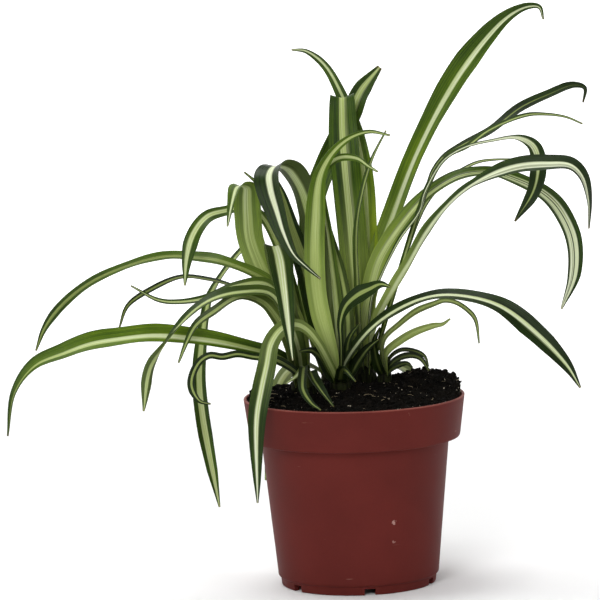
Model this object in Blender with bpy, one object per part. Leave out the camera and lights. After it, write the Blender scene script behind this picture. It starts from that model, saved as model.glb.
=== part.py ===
"""Potted spider plant: a 12 cm nursery pot, its soil and six leafy shoots.

+Z is up, the pot's axis is the Z axis, and z = 0 is the surface that it stands on.
Sizes below are in millimetres and become metres through MM.
"""
import math
from collections import namedtuple

import bmesh
import bpy
import numpy as np
from mathutils import Matrix, Quaternion, Vector

MM = 0.001
GAP = 0.3                      # clearance between touching pieces

# ---- pot ----
RIM_RADIUS = 60.0
POT_HEIGHT = 102.5
COLLAR_HEIGHT = 22.8
COLLAR_BOTTOM_RADIUS = 57.2
BODY_TOP_RADIUS = 50.9
BODY_BOTTOM_RADIUS = 43.9
BODY_BOTTOM_Z = 8.0
FOOT_RADIUS = 42.0
WALL = 1.5
FLOOR_UNDERSIDE_Z = 2.5
FLOOR_TOP_Z = 4.2
CENTRE_FOOT_RADIUS = 14.0      # the floor dips to the ground here
POT_SIDES = 40
NOTCHES = 6
NOTCH_WIDTH = 6.0
NOTCH_HEIGHT = 3.6
FIRST_NOTCH_DEG = -82.0        # -90 is the front
DRAIN_RADIUS = 2.2
DRAIN_CIRCLE_RADIUS = 36.6

# ---- soil ----
SOIL_SIDES = 36
SOIL_RINGS = (10.0, 20.0, 30.0, 39.0, 47.0, 53.0, 56.4)
SOIL_EDGE_Z = 101.6
SOIL_DOME = 6.0                # rise of the soil's middle above its edge
HEAP_HEIGHT = 9.0              # extra heap towards the back right
HEAP_CENTRE = (45.0, 13.0)
HEAP_SPREAD = 24.0
LUMP_HEIGHT = 0.9

# ---- leaves ----
BLADE_THICKNESS = 0.7
CHANNEL = 0.16                 # depth of the blade's fold over its width
LONGEST_STEP = 20.0            # distance between two rings of a blade
BEND_STEP_DEG = 19.0           # bend between two rings of a blade
HOLE_DEPTH = 22.0              # how far each crown goes down into the soil
CROWN_SIDES = 12
CROWN_HEIGHT = 9.0             # of the crown's rounded top above the soil

Crown = namedtuple("Crown", "x y radius")
Leaf = namedtuple("Leaf", "width facing route turn carried")


def leaf(width, facing, route, turn=(0,)):
    """A leaf whose upper face keeps looking towards one side.
    width: blade widths at even steps from root to tip.
    facing: compass degrees (0 = +X, 90 = +Y) that the upper face looks at.
    route: the midrib, outwards from the crown.
    turn: extra degrees the blade is turned about its midrib, at even steps from root to tip."""
    return Leaf(width, facing, route, turn, False)


def curled(width, facing, route, turn=(0,)):
    """A leaf whose upper face starts at facing and is carried round with the curl."""
    return Leaf(width, facing, route, turn, True)


SHOOTS = {
    "shoot_centre": (Crown(-7, -8, 6.0), {
        "broad_front": leaf((5, 8, 11, 12, 12, 12, 9, 5, 3, 1), -90, (
            (-12, -9, 128), (-18, -11, 151), (-20, -13, 173), (-19, -15, 200), (-15, -17, 226),
            (-3, -20, 242), (11, -23, 248), (23, -26, 246)), (25, 25, 25, 20, 10)),
        "hook": curled((6, 8, 11, 13, 14.5, 15.5, 16, 16.5, 16.5, 14.5, 9.5, 4, 1), 54, (
            (-15, -4, 139), (-19, -2, 183), (-24, -3, 211), (-28, -6, 221), (-33, -11, 228),
            (-39, -17, 230), (-42, -23, 226), (-41.5, -27, 219), (-38.5, -31, 208), (-35, -35, 196),
            (-30, -38, 185), (-23, -41, 178), (-16, -43, 172))),
        "hook_behind": leaf((6, 10, 12, 11, 7, 3), -90, (
            (-17, 2, 138), (-24, 6, 171), (-31, 8, 194), (-36, 9, 212), (-40, 9, 221))),
        "folded_short": leaf((5, 7, 7.5, 7.5, 7, 6, 4.5, 4, 1), -90, (
            (-8, 0, 144), (-12, -2, 188), (-15, -5, 215), (-13, -8, 226), (-5, -11, 233),
            (5, -15, 233), (11, -18, 229), (16, -20, 226))),
        "upright_narrow": leaf((5, 6, 6.5, 6, 4, 1), -90, (
            (-2, 0, 138), (-3, 1, 155), (-6, 2, 172), (-10, 3, 188), (-15, 4, 209))),
        "over_the_rim": leaf((4.5, 5, 5.5, 6, 7, 8.8, 10, 10.6, 10.3, 8.8, 6.6, 4.2, 1), -90, (
            (-12, -14, 120), (-18, -19, 133), (-24, -25, 142), (-30, -31, 146), (-37, -35, 145),
            (-43, -39, 138), (-46, -42, 126), (-49, -45, 114), (-52, -47, 98), (-53, -48, 53)),
            (30, 35, 40, 35, 25, 10, 0, 0, 0, 0, 0, 0)),
        "low_right_long": leaf((6, 7, 8, 8.5, 8.5, 8.5, 9, 10, 11.2, 11.8, 10.2, 6.5, 1), -90, (
            (-6, -12, 118), (8, -20, 139), (26, -29, 153), (44, -36, 160), (62, -43, 160),
            (79, -49, 155), (96, -53, 142), (113, -57, 124), (120, -58, 112)),
            (-50, -58, -62, -62, -62, -62, -64, -55, -45, -25, -20, -15, -10)),
        "short_front": leaf((2.5, 2.5, 2.5, 3, 4.5, 7.5, 9.5, 6, 1), -90, (
            (-6, -15, 132), (-6, -18, 145), (-3, -22, 154), (3, -26, 160), (10, -30, 164),
            (16, -34, 167), (21, -37, 166)), (-20, -20)),
        "dark_between": leaf((4, 6, 5, 3, 1), -90, (
            (-3, -11, 118), (-3, -13, 129), (-1, -15, 137), (4, -17, 144)), (-20, -20)),
        "dark_left": leaf((5, 7, 6, 4, 1), -90, (
            (-13, -13, 117), (-17, -15, 125), (-22, -17, 130), (-29, -19, 130)), (25, 25)),
        "dark_middle": leaf((5, 7, 6, 3, 1), -90, (
            (-7, -18, 114), (-6, -25, 120), (-4, -33, 121), (1, -40, 116))),
        "dark_behind": leaf((7, 10, 9, 5, 1), -90, (
            (-11, -5, 118), (-15, -3, 126), (-18, -1, 135), (-19, 1, 145))),
        "low_dark": leaf((4, 6, 6, 4, 1), -90, (
            (-1, -10, 117), (4, -12, 125), (9, -14, 131), (14, -16, 135)), (-20, -20)),
    }),
    "shoot_left": (Crown(-27, 0, 7.0), {
        "broad_hook": curled((9, 10.5, 12, 13, 14, 14.5, 15, 15, 15, 14.5, 10.5, 5.5, 1), 75, (
            (-29, 2, 128), (-34, 0, 147), (-45, -1, 165), (-54, -4, 189), (-55, -7, 203),
            (-55, -10, 212), (-55, -15, 219), (-59, -20, 220), (-62, -26, 213), (-65, -31, 200))),
        "thin_tip_behind": leaf((4, 5, 5, 4, 1), -90, (
            (-32, 8, 155), (-37, 10, 187), (-43, 11, 206), (-49, 10, 218), (-56, 8, 225))),
        "high_curl": leaf((6, 7, 7, 7, 7, 6.5, 7.5, 8.5, 1), -90, (
            (-28, 5, 133), (-32, 6, 160), (-39, 6, 183), (-48, 6, 201), (-57, 4, 206),
            (-66, -2, 205), (-76, -12, 203), (-83, -19, 195), (-87, -22, 183), (-89, -24, 168)),
            (30, 30, 30, 45, 55, 45, 15, 10)),
        "longest_left": leaf((6, 7, 8, 9, 9, 8, 7, 6, 5.5, 5, 1), -90, (
            (-29, -4, 134), (-36, -8, 157), (-45, -9, 167), (-69, -6, 178), (-84, 0, 180),
            (-100, 9, 180), (-121, 22, 174), (-144, 34, 163), (-161, 42, 149), (-170, 46, 137),
            (-175, 48, 125)), (40, 50, 55, 60, 60, 62, 62, 55, 35, 10, 0)),
        "thin_back_left": leaf((4, 5, 5, 4.5, 4, 4, 3.5, 3, 1), -90, (
            (-34, 8, 138), (-49, 14, 154), (-66, 20, 162), (-78, 24, 165), (-93, 29, 166),
            (-110, 34, 159), (-123, 37, 150), (-128, 38, 138)), (60, 70, 74, 74, 72, 70, 40, 20, 0)),
        "tip_up": leaf((6, 8, 9, 9, 8, 6, 4.5, 3, 1), -90, (
            (-30, -8, 135), (-38, -12, 156), (-46, -15, 166), (-62, -20, 166), (-77, -25, 161),
            (-92, -31, 160), (-103, -36, 162), (-117, -42, 171)), (30, 45, 55, 58, 58, 55, 55, 50)),
        "turned_over": leaf((6, 7, 8, 8.5, 8.5, 8.5, 8.5, 8, 7, 6, 7.5, 6, 1), -90, (
            (-30, -12, 133), (-37, -17, 152), (-44, -21, 162), (-59, -28, 164), (-73, -35, 162),
            (-83, -40, 157), (-94, -46, 147), (-102, -49, 137), (-108, -51, 127),
            (-112, -53, 105)), (30, 35, 40, 50, 55, 58, 60, 62, 68, 84, 130, 160, 170)),
        "broad_low_curl": leaf((9, 12, 11, 9, 8, 7, 5, 1), -90, (
            (-32, -8, 129), (-41, -14, 148), (-48, -18, 157), (-60, -24, 161), (-74, -31, 154),
            (-83, -36, 148), (-88, -40, 140), (-93, -43, 129)), (30, 35, 45, 58, 60, 55, 40)),
        "long_hanging": leaf((5, 6, 6, 6, 6, 6, 6, 7, 7.5, 8, 8, 6, 1), -90, (
            (-30, 8, 130), (-40, 14, 157), (-48, 20, 179), (-54, 24, 184), (-60, 27, 179),
            (-76, 35, 157), (-80, 38, 144), (-85, 41, 110), (-84, 41, 88), (-76, 40, 36)),
            (80, 78, 76, 75, 72, 65, 45, 20, 0, 0, 0, 0)),
        "big_low_left": leaf((5, 6.5, 8, 9.5, 11, 11, 11.5, 10.5, 7, 3.5, 1), -90, (
            (-33, -4, 121), (-43, -8, 128), (-52, -12, 131), (-69, -23, 137), (-86, -30, 141),
            (-105, -37, 144), (-124, -43, 143.5), (-139, -48, 142), (-153, -52, 138),
            (-169, -56, 132), (-180, -60, 118), (-184, -62, 95)), (40, 40)),
        "folded_front": curled((7, 9, 10, 10.5, 11, 13.5, 10, 6.5, 1), 95, (
            (-32, -6, 135), (-36, -8, 162), (-40, -11, 181), (-40, -16, 187), (-38, -23, 182),
            (-36, -33, 168), (-34, -44, 148), (-32, -52, 130))),
        "thin_c_curl": leaf((3, 4, 5, 4, 4, 4, 4.5, 4.5, 1), -90, (
            (-30, -12, 117), (-41, -16, 125), (-54, -20, 128), (-62, -23, 130), (-70, -25, 129),
            (-77, -26, 130), (-83, -27, 126), (-87, -27, 115), (-83, -27, 106), (-77, -27, 104)),
            (30, 30)),
    }),
    "shoot_right": (Crown(6, 12, 7.0), {
        "tall_leaning_left": leaf((6, 8, 10, 11.5, 12, 12, 12, 11.2, 9.5, 7, 5.4, 4, 1), -90, (
            (8, 20, 152), (9, 22, 172), (9, 26, 197), (8, 30, 221), (4, 34, 245), (-2, 37, 262),
            (-11, 40, 279), (-21, 41, 287), (-29, 42, 288))),
        "tall_folded": curled((8, 11, 14, 15.5, 16, 16, 16.5, 14, 7), -90, (
            (5, 14, 136), (3, 16, 163), (1, 19, 196), (-1, 22, 223), (-2, 25, 245), (-2, 28, 262),
            (-2, 33, 258), (-1, 37, 247))),
        "tall_leaning_right": leaf((6, 8, 9.5, 11, 12, 12, 12, 12, 12, 12, 11.5, 11, 9.5, 3), -90, (
            (-12, 15, 153), (-18, 18, 174), (-21, 22, 191), (-19, 27, 207), (-12, 32, 225),
            (-5, 36, 239), (3, 39, 253), (8, 41, 264), (19, 44, 277))),
        "edge_on_thin": leaf((5, 6, 6, 5, 4, 1), -90, (
            (4, 4, 154), (4, 0, 193), (7, -3, 211), (13, -6, 231), (21, -10, 247)), (-60, -60)),
        "tallest": leaf((8, 9, 10, 10.2, 10, 10, 9.8, 10.5, 12.6, 13.2, 10, 5, 1), -90, (
            (8, 17, 147), (11, 20, 166), (23, 27, 198), (38, 35, 233), (61, 46, 272),
            (82, 55, 296), (93, 60, 304), (102, 63, 307), (108, 65, 306), (110, 66, 299))),
        "dark_high": leaf((3, 3, 3, 3, 3, 3, 3, 4, 5, 6, 6, 5, 1), -90, (
            (11, 9, 153), (15, 7, 163), (27, 3, 187), (38, 0, 202), (43, -4, 217), (46, -1, 224),
            (52, 3, 231), (62, 10, 236), (78, 17, 243), (95, 28, 254), (111, 38, 260),
            (125, 46, 264), (131, 48, 262), (130, 49, 254)),
            (-60, -70, -72, -72, -72, -72, -70, -62, -45, -42, -42, -42, -30)),
        "dark_branching": leaf((3, 4, 4, 4, 3.5, 3, 1), -90, (
            (46, 2, 221), (54, 2, 231), (65, 5, 236), (77, 8, 244), (97, 14, 251), (108, 17, 251),
            (119, 19, 249), (128, 20, 245)), (-50, -50)),
        "drooping_end": leaf((3,) * 12 + (3.5, 8, 9, 6.5, 1), -90, (
            (11, 4, 154), (15, 2, 164), (27, -2, 187), (38, -4, 202), (41, -6, 212), (48, -7, 225),
            (53, -9, 231), (64, -10, 237), (78, -10, 240), (91, -9, 241), (99, -8, 237),
            (102, -7, 231), (102, -7, 221), (99, -8, 211), (89, -9, 196)),
            (-60, -70) + (-74,) * 10 + (-60, -20, 0, 0, 0)),
        "right_arch": leaf((6, 7, 8, 8, 8, 8, 7, 6.5, 8.5, 9, 8.5, 6.5, 1), -90, (
            (11, 4, 137), (23, -4, 161), (32, -9, 176), (41, -15, 192), (51, -20, 205),
            (63, -24, 216), (79, -30, 225), (92, -34, 229), (106, -38, 230), (118, -41, 229),
            (124, -43, 223), (127, -44, 210), (127, -44, 195)),
            (-57, -57, -57, -57, -57, -57, -65, -67, -30, -25, -40, -56, -60)),
        "right_arch_behind": leaf((9, 9.5, 9.5, 9.5, 9.5, 9, 8.5, 8, 8.5, 9.5, 9.5, 7.5, 1), -90, (
            (5, 12, 136), (10, 11, 157), (16, 10, 176), (32, 8, 199), (43, 8, 210), (59, 10, 219),
            (71, 11, 221), (80, 13, 220), (99, 19, 212), (109, 22, 205), (116, 25, 196),
            (122, 28, 181), (122, 31, 161), (115, 34, 142)),
            (-10, -12, -15, -18, -25, -46, -57, -57, -38, -20, -15, -10, 0)),
        "short_thin_right": leaf((3, 3, 3, 3, 1), -90, (
            (40, 12, 201), (50, 14, 214), (60, 16, 221), (71, 17, 226), (81, 18, 227), (90, 18, 227)),
            (-50, -50)),
    }),
    "shoot_small_right": (Crown(17, 3, 4.0), {
        "narrow_hook": leaf((3, 4, 5, 5, 4, 3.5, 1), -90, (
            (17, -7, 133), (26, -10, 142), (35, -13, 149), (44, -16, 153), (50, -18, 155),
            (56, -20, 154), (62, -21, 150), (66, -21, 145), (68, -21, 132)), (-55, -60, -58, -50)),
        "low_wave": leaf((4, 5, 5.5, 5, 4, 1), -90, (
            (18, -2, 125), (26, -4, 132), (35, -5, 137), (44, -6, 140), (49, -7, 141), (53, -8, 144)),
            (-45, -45)),
        "low_curl_back": leaf((3, 3, 3, 2.5, 1), -90, (
            (20, 8, 121), (26, 10, 125), (34, 12, 124), (39, 13, 121), (41, 14, 115)), (-60, -40)),
        "low_curl": leaf((3, 4, 4, 3, 1), -90, (
            (21, 2, 119), (29, 2, 123), (36, 1, 122), (41, 0, 115)), (-50, -30)),
        "lowest": leaf((3, 4, 3.5, 1), -90, (
            (21, -4, 117), (29, -6, 120), (32, -8, 118)), (-50, -40)),
        "dark_upright": leaf((4, 6, 5, 3, 1), -90, (
            (14, -4, 118), (12, -8, 127), (12, -11, 134), (15, -13, 141)), (-20, -20)),
    }),
    "shoot_small_front": (Crown(-24, -17, 4.0), {
        "pale_curl": curled((3, 3, 3, 1), 60, (
            (-26, -22, 122), (-28, -27, 121), (-31, -31, 118), (-36, -33, 115))),
        "to_the_rim": curled((4, 5, 5, 4, 1), 90, (
            (-26, -27, 123), (-27, -36, 119), (-27, -44, 113), (-23, -51, 107), (-18, -58, 104))),
        "beside_it": curled((4, 6, 6, 4, 1), 100, (
            (-23, -24, 120), (-21, -32, 117), (-17, -43, 112), (-11, -54, 105))),
    }),
    "shoot_back": (Crown(-12, 31, 6.0), {
        "back_high": curled((6, 9, 11, 12, 11, 9, 5, 1), -80, (
            (3, 42, 149), (4, 58, 186), (6, 82, 211), (6, 106, 216), (5, 124, 196),
            (3, 134, 160), (0, 138, 119))),
        "back_right": curled((6, 8, 10, 10, 9, 8, 5, 1), -90, (
            (7, 38, 144), (9, 54, 164), (9, 76, 174), (7, 96, 162), (5, 110, 135),
            (7, 118, 93), (14, 120, 58))),
        "back_left": curled((6, 9, 11, 11, 10, 8, 5, 1), -90, (
            (-22, 36, 140), (-22, 50, 171), (-22, 70, 194), (-22, 90, 198), (-23, 106, 184),
            (-26, 116, 146), (-29, 120, 106), (-35, 120, 60))),
        "back_low": curled((6, 9, 10, 9, 8, 5, 1), -90, (
            (0, 40, 124), (0, 54, 141), (-1, 70, 147), (-2, 86, 138), (-3, 98, 114),
            (-5, 104, 84), (-12, 106, 55))),
        "back_upright": curled((5, 7, 8, 6, 1), -90, (
            (6, 34, 139), (7, 44, 160), (9, 52, 176), (10, 58, 187))),
        "back_rim_right": curled((4, 6, 7, 6, 4, 1), 180, (
            (5, 40, 112), (25, 62, 109), (36, 78, 96), (40, 86, 71), (41, 90, 45))),
        "back_rim_left": curled((4, 7, 8, 7, 5, 1), 0, (
            (-25, 44, 113), (-36, 60, 108), (-44, 73, 93), (-48, 82, 70), (-51, 84, 43))),
    }),
}


# ---------------------------------------------------------------- helpers

def clear_scene():
    for obj in list(bpy.data.objects):
        bpy.data.objects.remove(obj)


def principled(name, colour, roughness, metallic=0.0):
    material = bpy.data.materials.new(name)
    material.use_nodes = True
    shader = material.node_tree.nodes["Principled BSDF"]
    shader.inputs["Base Color"].default_value = (*colour, 1.0)
    shader.inputs["Roughness"].default_value = roughness
    shader.inputs["Metallic"].default_value = metallic
    return material


def add_object(name, bm, material=None, smooth_deg=40.0):
    """Make an object from a bmesh drawn in millimetres."""
    bmesh.ops.scale(bm, vec=(MM, MM, MM), verts=bm.verts)
    bmesh.ops.recalc_face_normals(bm, faces=bm.faces)
    mesh = bpy.data.meshes.new(name)
    bm.to_mesh(mesh)
    bm.free()
    mesh.shade_smooth()
    mesh.set_sharp_from_angle(angle=math.radians(smooth_deg))
    if material:
        mesh.materials.append(material)
    obj = bpy.data.objects.new(name, mesh)
    bpy.context.scene.collection.objects.link(obj)
    return obj


def cutter(name, bm):
    obj = add_object(name, bm)
    obj.hide_render = True
    obj.display_type = "WIRE"
    return obj


def cut(target, cutters):
    """Cut a collection of helpers out of the target."""
    group = bpy.data.collections.new(target.name + "_cutters")
    bpy.context.scene.collection.children.link(group)
    for obj in cutters:
        bpy.context.scene.collection.objects.unlink(obj)
        group.objects.link(obj)
    modifier = target.modifiers.new("cut", "BOOLEAN")
    modifier.operation = "DIFFERENCE"
    modifier.solver = "EXACT"
    modifier.operand_type = "COLLECTION"
    modifier.collection = group


def join_all(target, parts):
    """Fuse the parts into the target with one union, then remove them."""
    group = bpy.data.collections.new(target.name + "_parts")
    for obj in parts:
        group.objects.link(obj)
    modifier = target.modifiers.new("fuse", "BOOLEAN")
    modifier.operation = "UNION"
    modifier.solver = "EXACT"
    modifier.operand_type = "COLLECTION"
    modifier.collection = group
    graph = bpy.context.evaluated_depsgraph_get()
    fused = bpy.data.meshes.new_from_object(target.evaluated_get(graph))
    target.modifiers.remove(modifier)
    target.data = fused
    for obj in parts:
        bpy.data.objects.remove(obj)
    bpy.data.collections.remove(group)


def lathe(outline, sides):
    """Turn a closed (radius, z) outline, which starts and ends on the axis."""
    bm = bmesh.new()
    verts = [bm.verts.new((r, 0.0, z)) for r, z in outline]
    edges = [bm.edges.new(pair) for pair in zip(verts, verts[1:])]
    bmesh.ops.spin(bm, geom=verts + edges, cent=(0, 0, 0), axis=(0, 0, 1),
                   angle=2 * math.pi, steps=sides, use_merge=True)
    bmesh.ops.remove_doubles(bm, verts=bm.verts, dist=0.001)
    return bm


# ---------------------------------------------------------------- pot

def pot_outline():
    ledge = POT_HEIGHT - COLLAR_HEIGHT
    underside = [
        (0, 0), (CENTRE_FOOT_RADIUS, 0), (CENTRE_FOOT_RADIUS + 1.5, FLOOR_UNDERSIDE_Z),
        (FOOT_RADIUS - 3.5, FLOOR_UNDERSIDE_Z), (FOOT_RADIUS - 2.8, 0), (FOOT_RADIUS - 0.7, 0),
    ]
    outside = [
        (FOOT_RADIUS, 0.8), (FOOT_RADIUS + 0.4, 4.4), (BODY_BOTTOM_RADIUS - 0.5, 5.2),
        (BODY_BOTTOM_RADIUS - 0.1, 6.2), (BODY_BOTTOM_RADIUS, BODY_BOTTOM_Z),
        (BODY_TOP_RADIUS, ledge - 0.9), (BODY_TOP_RADIUS + 0.7, ledge - 0.1),
        (COLLAR_BOTTOM_RADIUS - 1.2, ledge + 0.2), (COLLAR_BOTTOM_RADIUS - 0.2, ledge + 0.7),
        (COLLAR_BOTTOM_RADIUS + 0.05, ledge + 1.8), (RIM_RADIUS - 0.1, POT_HEIGHT - 1.0),
        (RIM_RADIUS, POT_HEIGHT - 0.5), (RIM_RADIUS - 0.4, POT_HEIGHT),
    ]
    inside = [
        (RIM_RADIUS - WALL, POT_HEIGHT), (RIM_RADIUS - WALL - 0.2, POT_HEIGHT - 0.6),
        (COLLAR_BOTTOM_RADIUS - WALL, ledge + 2.4), (COLLAR_BOTTOM_RADIUS - WALL - 0.8, ledge + 1.8),
        (BODY_TOP_RADIUS - WALL, ledge + 1.2), (BODY_BOTTOM_RADIUS - WALL, BODY_BOTTOM_Z),
        (BODY_BOTTOM_RADIUS - WALL - 0.8, FLOOR_TOP_Z), (CENTRE_FOOT_RADIUS - 0.4, FLOOR_TOP_Z),
        (CENTRE_FOOT_RADIUS - 1.8, WALL), (0, WALL),
    ]
    return underside + outside + inside


def notch_cutters():
    """A slot through the foot and a drain hole beside it, at each notch."""
    cutters = []
    for k in range(NOTCHES):
        angle = math.radians(FIRST_NOTCH_DEG + k * 360.0 / NOTCHES)
        slot = bmesh.new()
        place = (Matrix.Rotation(angle, 4, "Z")
                 @ Matrix.Translation((FOOT_RADIUS, 0, NOTCH_HEIGHT / 2 - 1))
                 @ Matrix.Diagonal((10.0, NOTCH_WIDTH, NOTCH_HEIGHT + 2, 1)))
        bmesh.ops.create_cube(slot, size=1.0, matrix=place)
        cutters.append(cutter(f"slot_{k}", slot))
        drain = bmesh.new()
        place = Matrix.Rotation(angle, 4, "Z") @ Matrix.Translation((DRAIN_CIRCLE_RADIUS, 0, 3.5))
        bmesh.ops.create_cone(drain, cap_ends=True, segments=10, radius1=DRAIN_RADIUS,
                              radius2=DRAIN_RADIUS, depth=9.0, matrix=place)
        cutters.append(cutter(f"drain_{k}", drain))
    return cutters


def build_pot(material):
    pot = add_object("pot", lathe(pot_outline(), POT_SIDES), material)
    cut(pot, notch_cutters())


# ---------------------------------------------------------------- soil

def soil_height(x, y):
    """Top of the soil: a low dome, a heap at the back right, and lumps."""
    r = math.hypot(x, y) / (RIM_RADIUS - WALL)
    dome = SOIL_DOME * (1 - r * r)
    away = math.hypot(x - HEAP_CENTRE[0], y - HEAP_CENTRE[1]) / HEAP_SPREAD
    heap = HEAP_HEIGHT * math.exp(-away * away)
    lumps = math.sin(0.41 * x + 1.3) * math.cos(0.37 * y - 0.6) + 0.5 * math.sin(0.83 * x - 0.71 * y)
    return SOIL_EDGE_Z + dome + heap + LUMP_HEIGHT * lumps * (1 - r ** 4)


def build_soil(material):
    """A filling that follows the pot's inside, with a plain hole for each shoot."""
    ledge = POT_HEIGHT - COLLAR_HEIGHT
    edge = RIM_RADIUS - WALL - 0.3 - GAP
    sides = [
        (0, FLOOR_TOP_Z + GAP), (BODY_BOTTOM_RADIUS - WALL - 0.8 - GAP, FLOOR_TOP_Z + GAP),
        (BODY_BOTTOM_RADIUS - WALL - GAP, BODY_BOTTOM_Z), (BODY_TOP_RADIUS - WALL - GAP, ledge + 1.7),
        (COLLAR_BOTTOM_RADIUS - WALL - 0.8 - GAP, ledge + 2.4), (edge, SOIL_EDGE_Z),
    ]
    top = [(r, None) for r in reversed(SOIL_RINGS)] + [(0, None)]
    bm = lathe([(r, SOIL_EDGE_Z + 1 if z is None else z) for r, z in sides + top], SOIL_SIDES)
    for vert in bm.verts:
        if vert.co.z > SOIL_EDGE_Z + 0.5:
            vert.co.z = soil_height(vert.co.x, vert.co.y)
    bmesh.ops.triangulate(bm, faces=bm.faces)
    soil = add_object("soil", bm, material)
    holes = []
    for name, (crown, _) in SHOOTS.items():
        hole = bmesh.new()
        ground = soil_height(crown.x, crown.y)
        place = Matrix.Translation((crown.x, crown.y, ground - HOLE_DEPTH + 25))
        bmesh.ops.create_cone(hole, cap_ends=True, segments=CROWN_SIDES, radius1=crown.radius + GAP + 0.1,
                              radius2=crown.radius + GAP + 0.1, depth=50.0, matrix=place)
        holes.append(cutter(name + "_hole", hole))
    cut(soil, holes)


# ---------------------------------------------------------------- leaves

def smooth_route(points, steps=8):
    """Centripetal Catmull-Rom curve through the points, with even steps in each span."""
    p = [np.array(q, float) for q in points]
    p = [2 * p[0] - p[1]] + p + [2 * p[-1] - p[-2]]
    knots = [0.0]
    for a, b in zip(p, p[1:]):
        knots.append(knots[-1] + math.sqrt(np.linalg.norm(b - a)))
    line = []
    for i in range(1, len(p) - 2):
        t0, t1, t2, t3 = knots[i - 1:i + 3]
        for k in range(steps):
            t = t1 + (t2 - t1) * k / steps
            a1 = ((t1 - t) * p[i - 1] + (t - t0) * p[i]) / (t1 - t0)
            a2 = ((t2 - t) * p[i] + (t - t1) * p[i + 1]) / (t2 - t1)
            a3 = ((t3 - t) * p[i + 1] + (t - t2) * p[i + 2]) / (t3 - t2)
            b1 = ((t2 - t) * a1 + (t - t0) * a2) / (t2 - t0)
            b2 = ((t3 - t) * a2 + (t - t1) * a3) / (t3 - t1)
            line.append(((t2 - t) * b1 + (t - t1) * b2) / (t2 - t1))
    line.append(p[-2])
    return [Vector(q) for q in line]


def along(values, t):
    """Value at t (0 to 1) of a list of values spread evenly along a leaf."""
    stations = np.linspace(0.0, 1.0, max(len(values), 2))
    return float(np.interp(t, stations, values if len(values) > 1 else (values[0],) * 2))


def thinned(line):
    """Drop points where the line is short and nearly straight."""
    kept = [line[0]]
    heading = line[1] - line[0]
    for point, following in zip(line[1:], line[2:]):
        bend = math.degrees(heading.angle(following - point))
        if (point - kept[-1]).length >= LONGEST_STEP or bend >= BEND_STEP_DEG:
            kept.append(point)
            heading = following - point
    return kept + [line[-1]]


def blade_frames(spec, root):
    """Midrib point, side direction, upper-face direction and width at each ring of a blade."""
    line = thinned(smooth_route([root] + list(spec.route)))
    tangents = [(b - a).normalized() for a, b in zip([line[0]] + line, line[1:] + [line[-1]])]
    tangents[0] = (line[1] - line[0]).normalized()
    travel = [0.0]
    for a, b in zip(line, line[1:]):
        travel.append(travel[-1] + (b - a).length)
    facing = math.radians(spec.facing)
    outward = Vector((math.cos(facing), math.sin(facing), 0.0))
    face = outward
    before = Vector((0, 0, 1))
    frames = []
    for point, tangent, gone in zip(line, tangents, travel):
        face = before.rotation_difference(tangent) @ face if spec.carried else outward
        face = (face - tangent * face.dot(tangent)).normalized()
        before = tangent
        t = gone / travel[-1]
        turned = Quaternion(tangent, math.radians(along(spec.turn, t))) @ face
        frames.append((point, tangent.cross(turned), turned, along(spec.width, t)))
    return frames


def build_blade(name, spec, root):
    """A thin channelled blade: three points across its upper face and three across its lower one."""
    bm = bmesh.new()
    rings = []
    for point, side, face, width in blade_frames(spec, root):
        lift = face * (width * CHANNEL)
        down = face * BLADE_THICKNESS
        upper = [point - side * (width / 2) + lift, point, point + side * (width / 2) + lift]
        rings.append([bm.verts.new(v) for v in upper + [v - down for v in reversed(upper)]])
    for a, b in zip(rings, rings[1:]):
        for i, j, first in ((0, 1, True), (1, 2, True), (2, 3, True), (3, 4, False), (4, 5, False),
                            (5, 0, True)):
            if first:
                bm.faces.new((a[i], a[j], b[j]))
                bm.faces.new((a[i], b[j], b[i]))
            else:
                bm.faces.new((a[i], a[j], b[i]))
                bm.faces.new((a[j], b[j], b[i]))
    for ring in (rings[0], rings[-1]):
        bm.faces.new((ring[0], ring[1], ring[4], ring[5]))
        bm.faces.new((ring[1], ring[2], ring[3], ring[4]))
    return add_object(name, bm)


def build_crown(name, crown, ground, material):
    """The short stem that the leaves of a shoot grow from, set in its hole in the soil."""
    bottom = ground - HOLE_DEPTH + GAP
    r = crown.radius
    outline = [(0, bottom), (r * 0.8, bottom), (r, bottom + 2), (r, ground + 1),
               (r * 0.8, ground + CROWN_HEIGHT * 0.6), (r * 0.45, ground + CROWN_HEIGHT * 0.92),
               (0, ground + CROWN_HEIGHT)]
    bm = lathe(outline, CROWN_SIDES)
    bmesh.ops.translate(bm, verts=bm.verts, vec=(crown.x, crown.y, 0))
    return add_object(name, bm, material)


def root_of(crown, ground, spec):
    """Start of a leaf's midrib, inside the crown and on the side that it leaves by."""
    outward = Vector((spec.route[0][0] - crown.x, spec.route[0][1] - crown.y, 0))
    outward *= min(1.0, crown.radius * 0.4 / max(outward.length, 0.001))
    return (crown.x + outward.x, crown.y + outward.y, ground + 3.0)


def build_shoot(name, crown, leaves, material):
    ground = soil_height(crown.x, crown.y)
    stem = build_crown(name, crown, ground, material)
    blades = []
    for leaf_name, spec in leaves.items():
        blade = build_blade(f"{name}_{leaf_name}", spec, root_of(crown, ground, spec))
        bpy.context.scene.collection.objects.unlink(blade)
        blades.append(blade)
    join_all(stem, blades)
    return stem


def main():
    clear_scene()
    build_pot(principled("pot_plastic", (0.107, 0.023, 0.019), 0.42))
    build_soil(principled("potting_soil", (0.012, 0.009, 0.007), 0.95))
    green = principled("leaf_green", (0.075, 0.17, 0.03), 0.4)
    for name, (crown, leaves) in SHOOTS.items():
        build_shoot(name, crown, leaves, green)


main()
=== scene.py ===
import math
import random

import bmesh
import bpy
import numpy as np
from mathutils import Matrix, Quaternion, Vector


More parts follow.
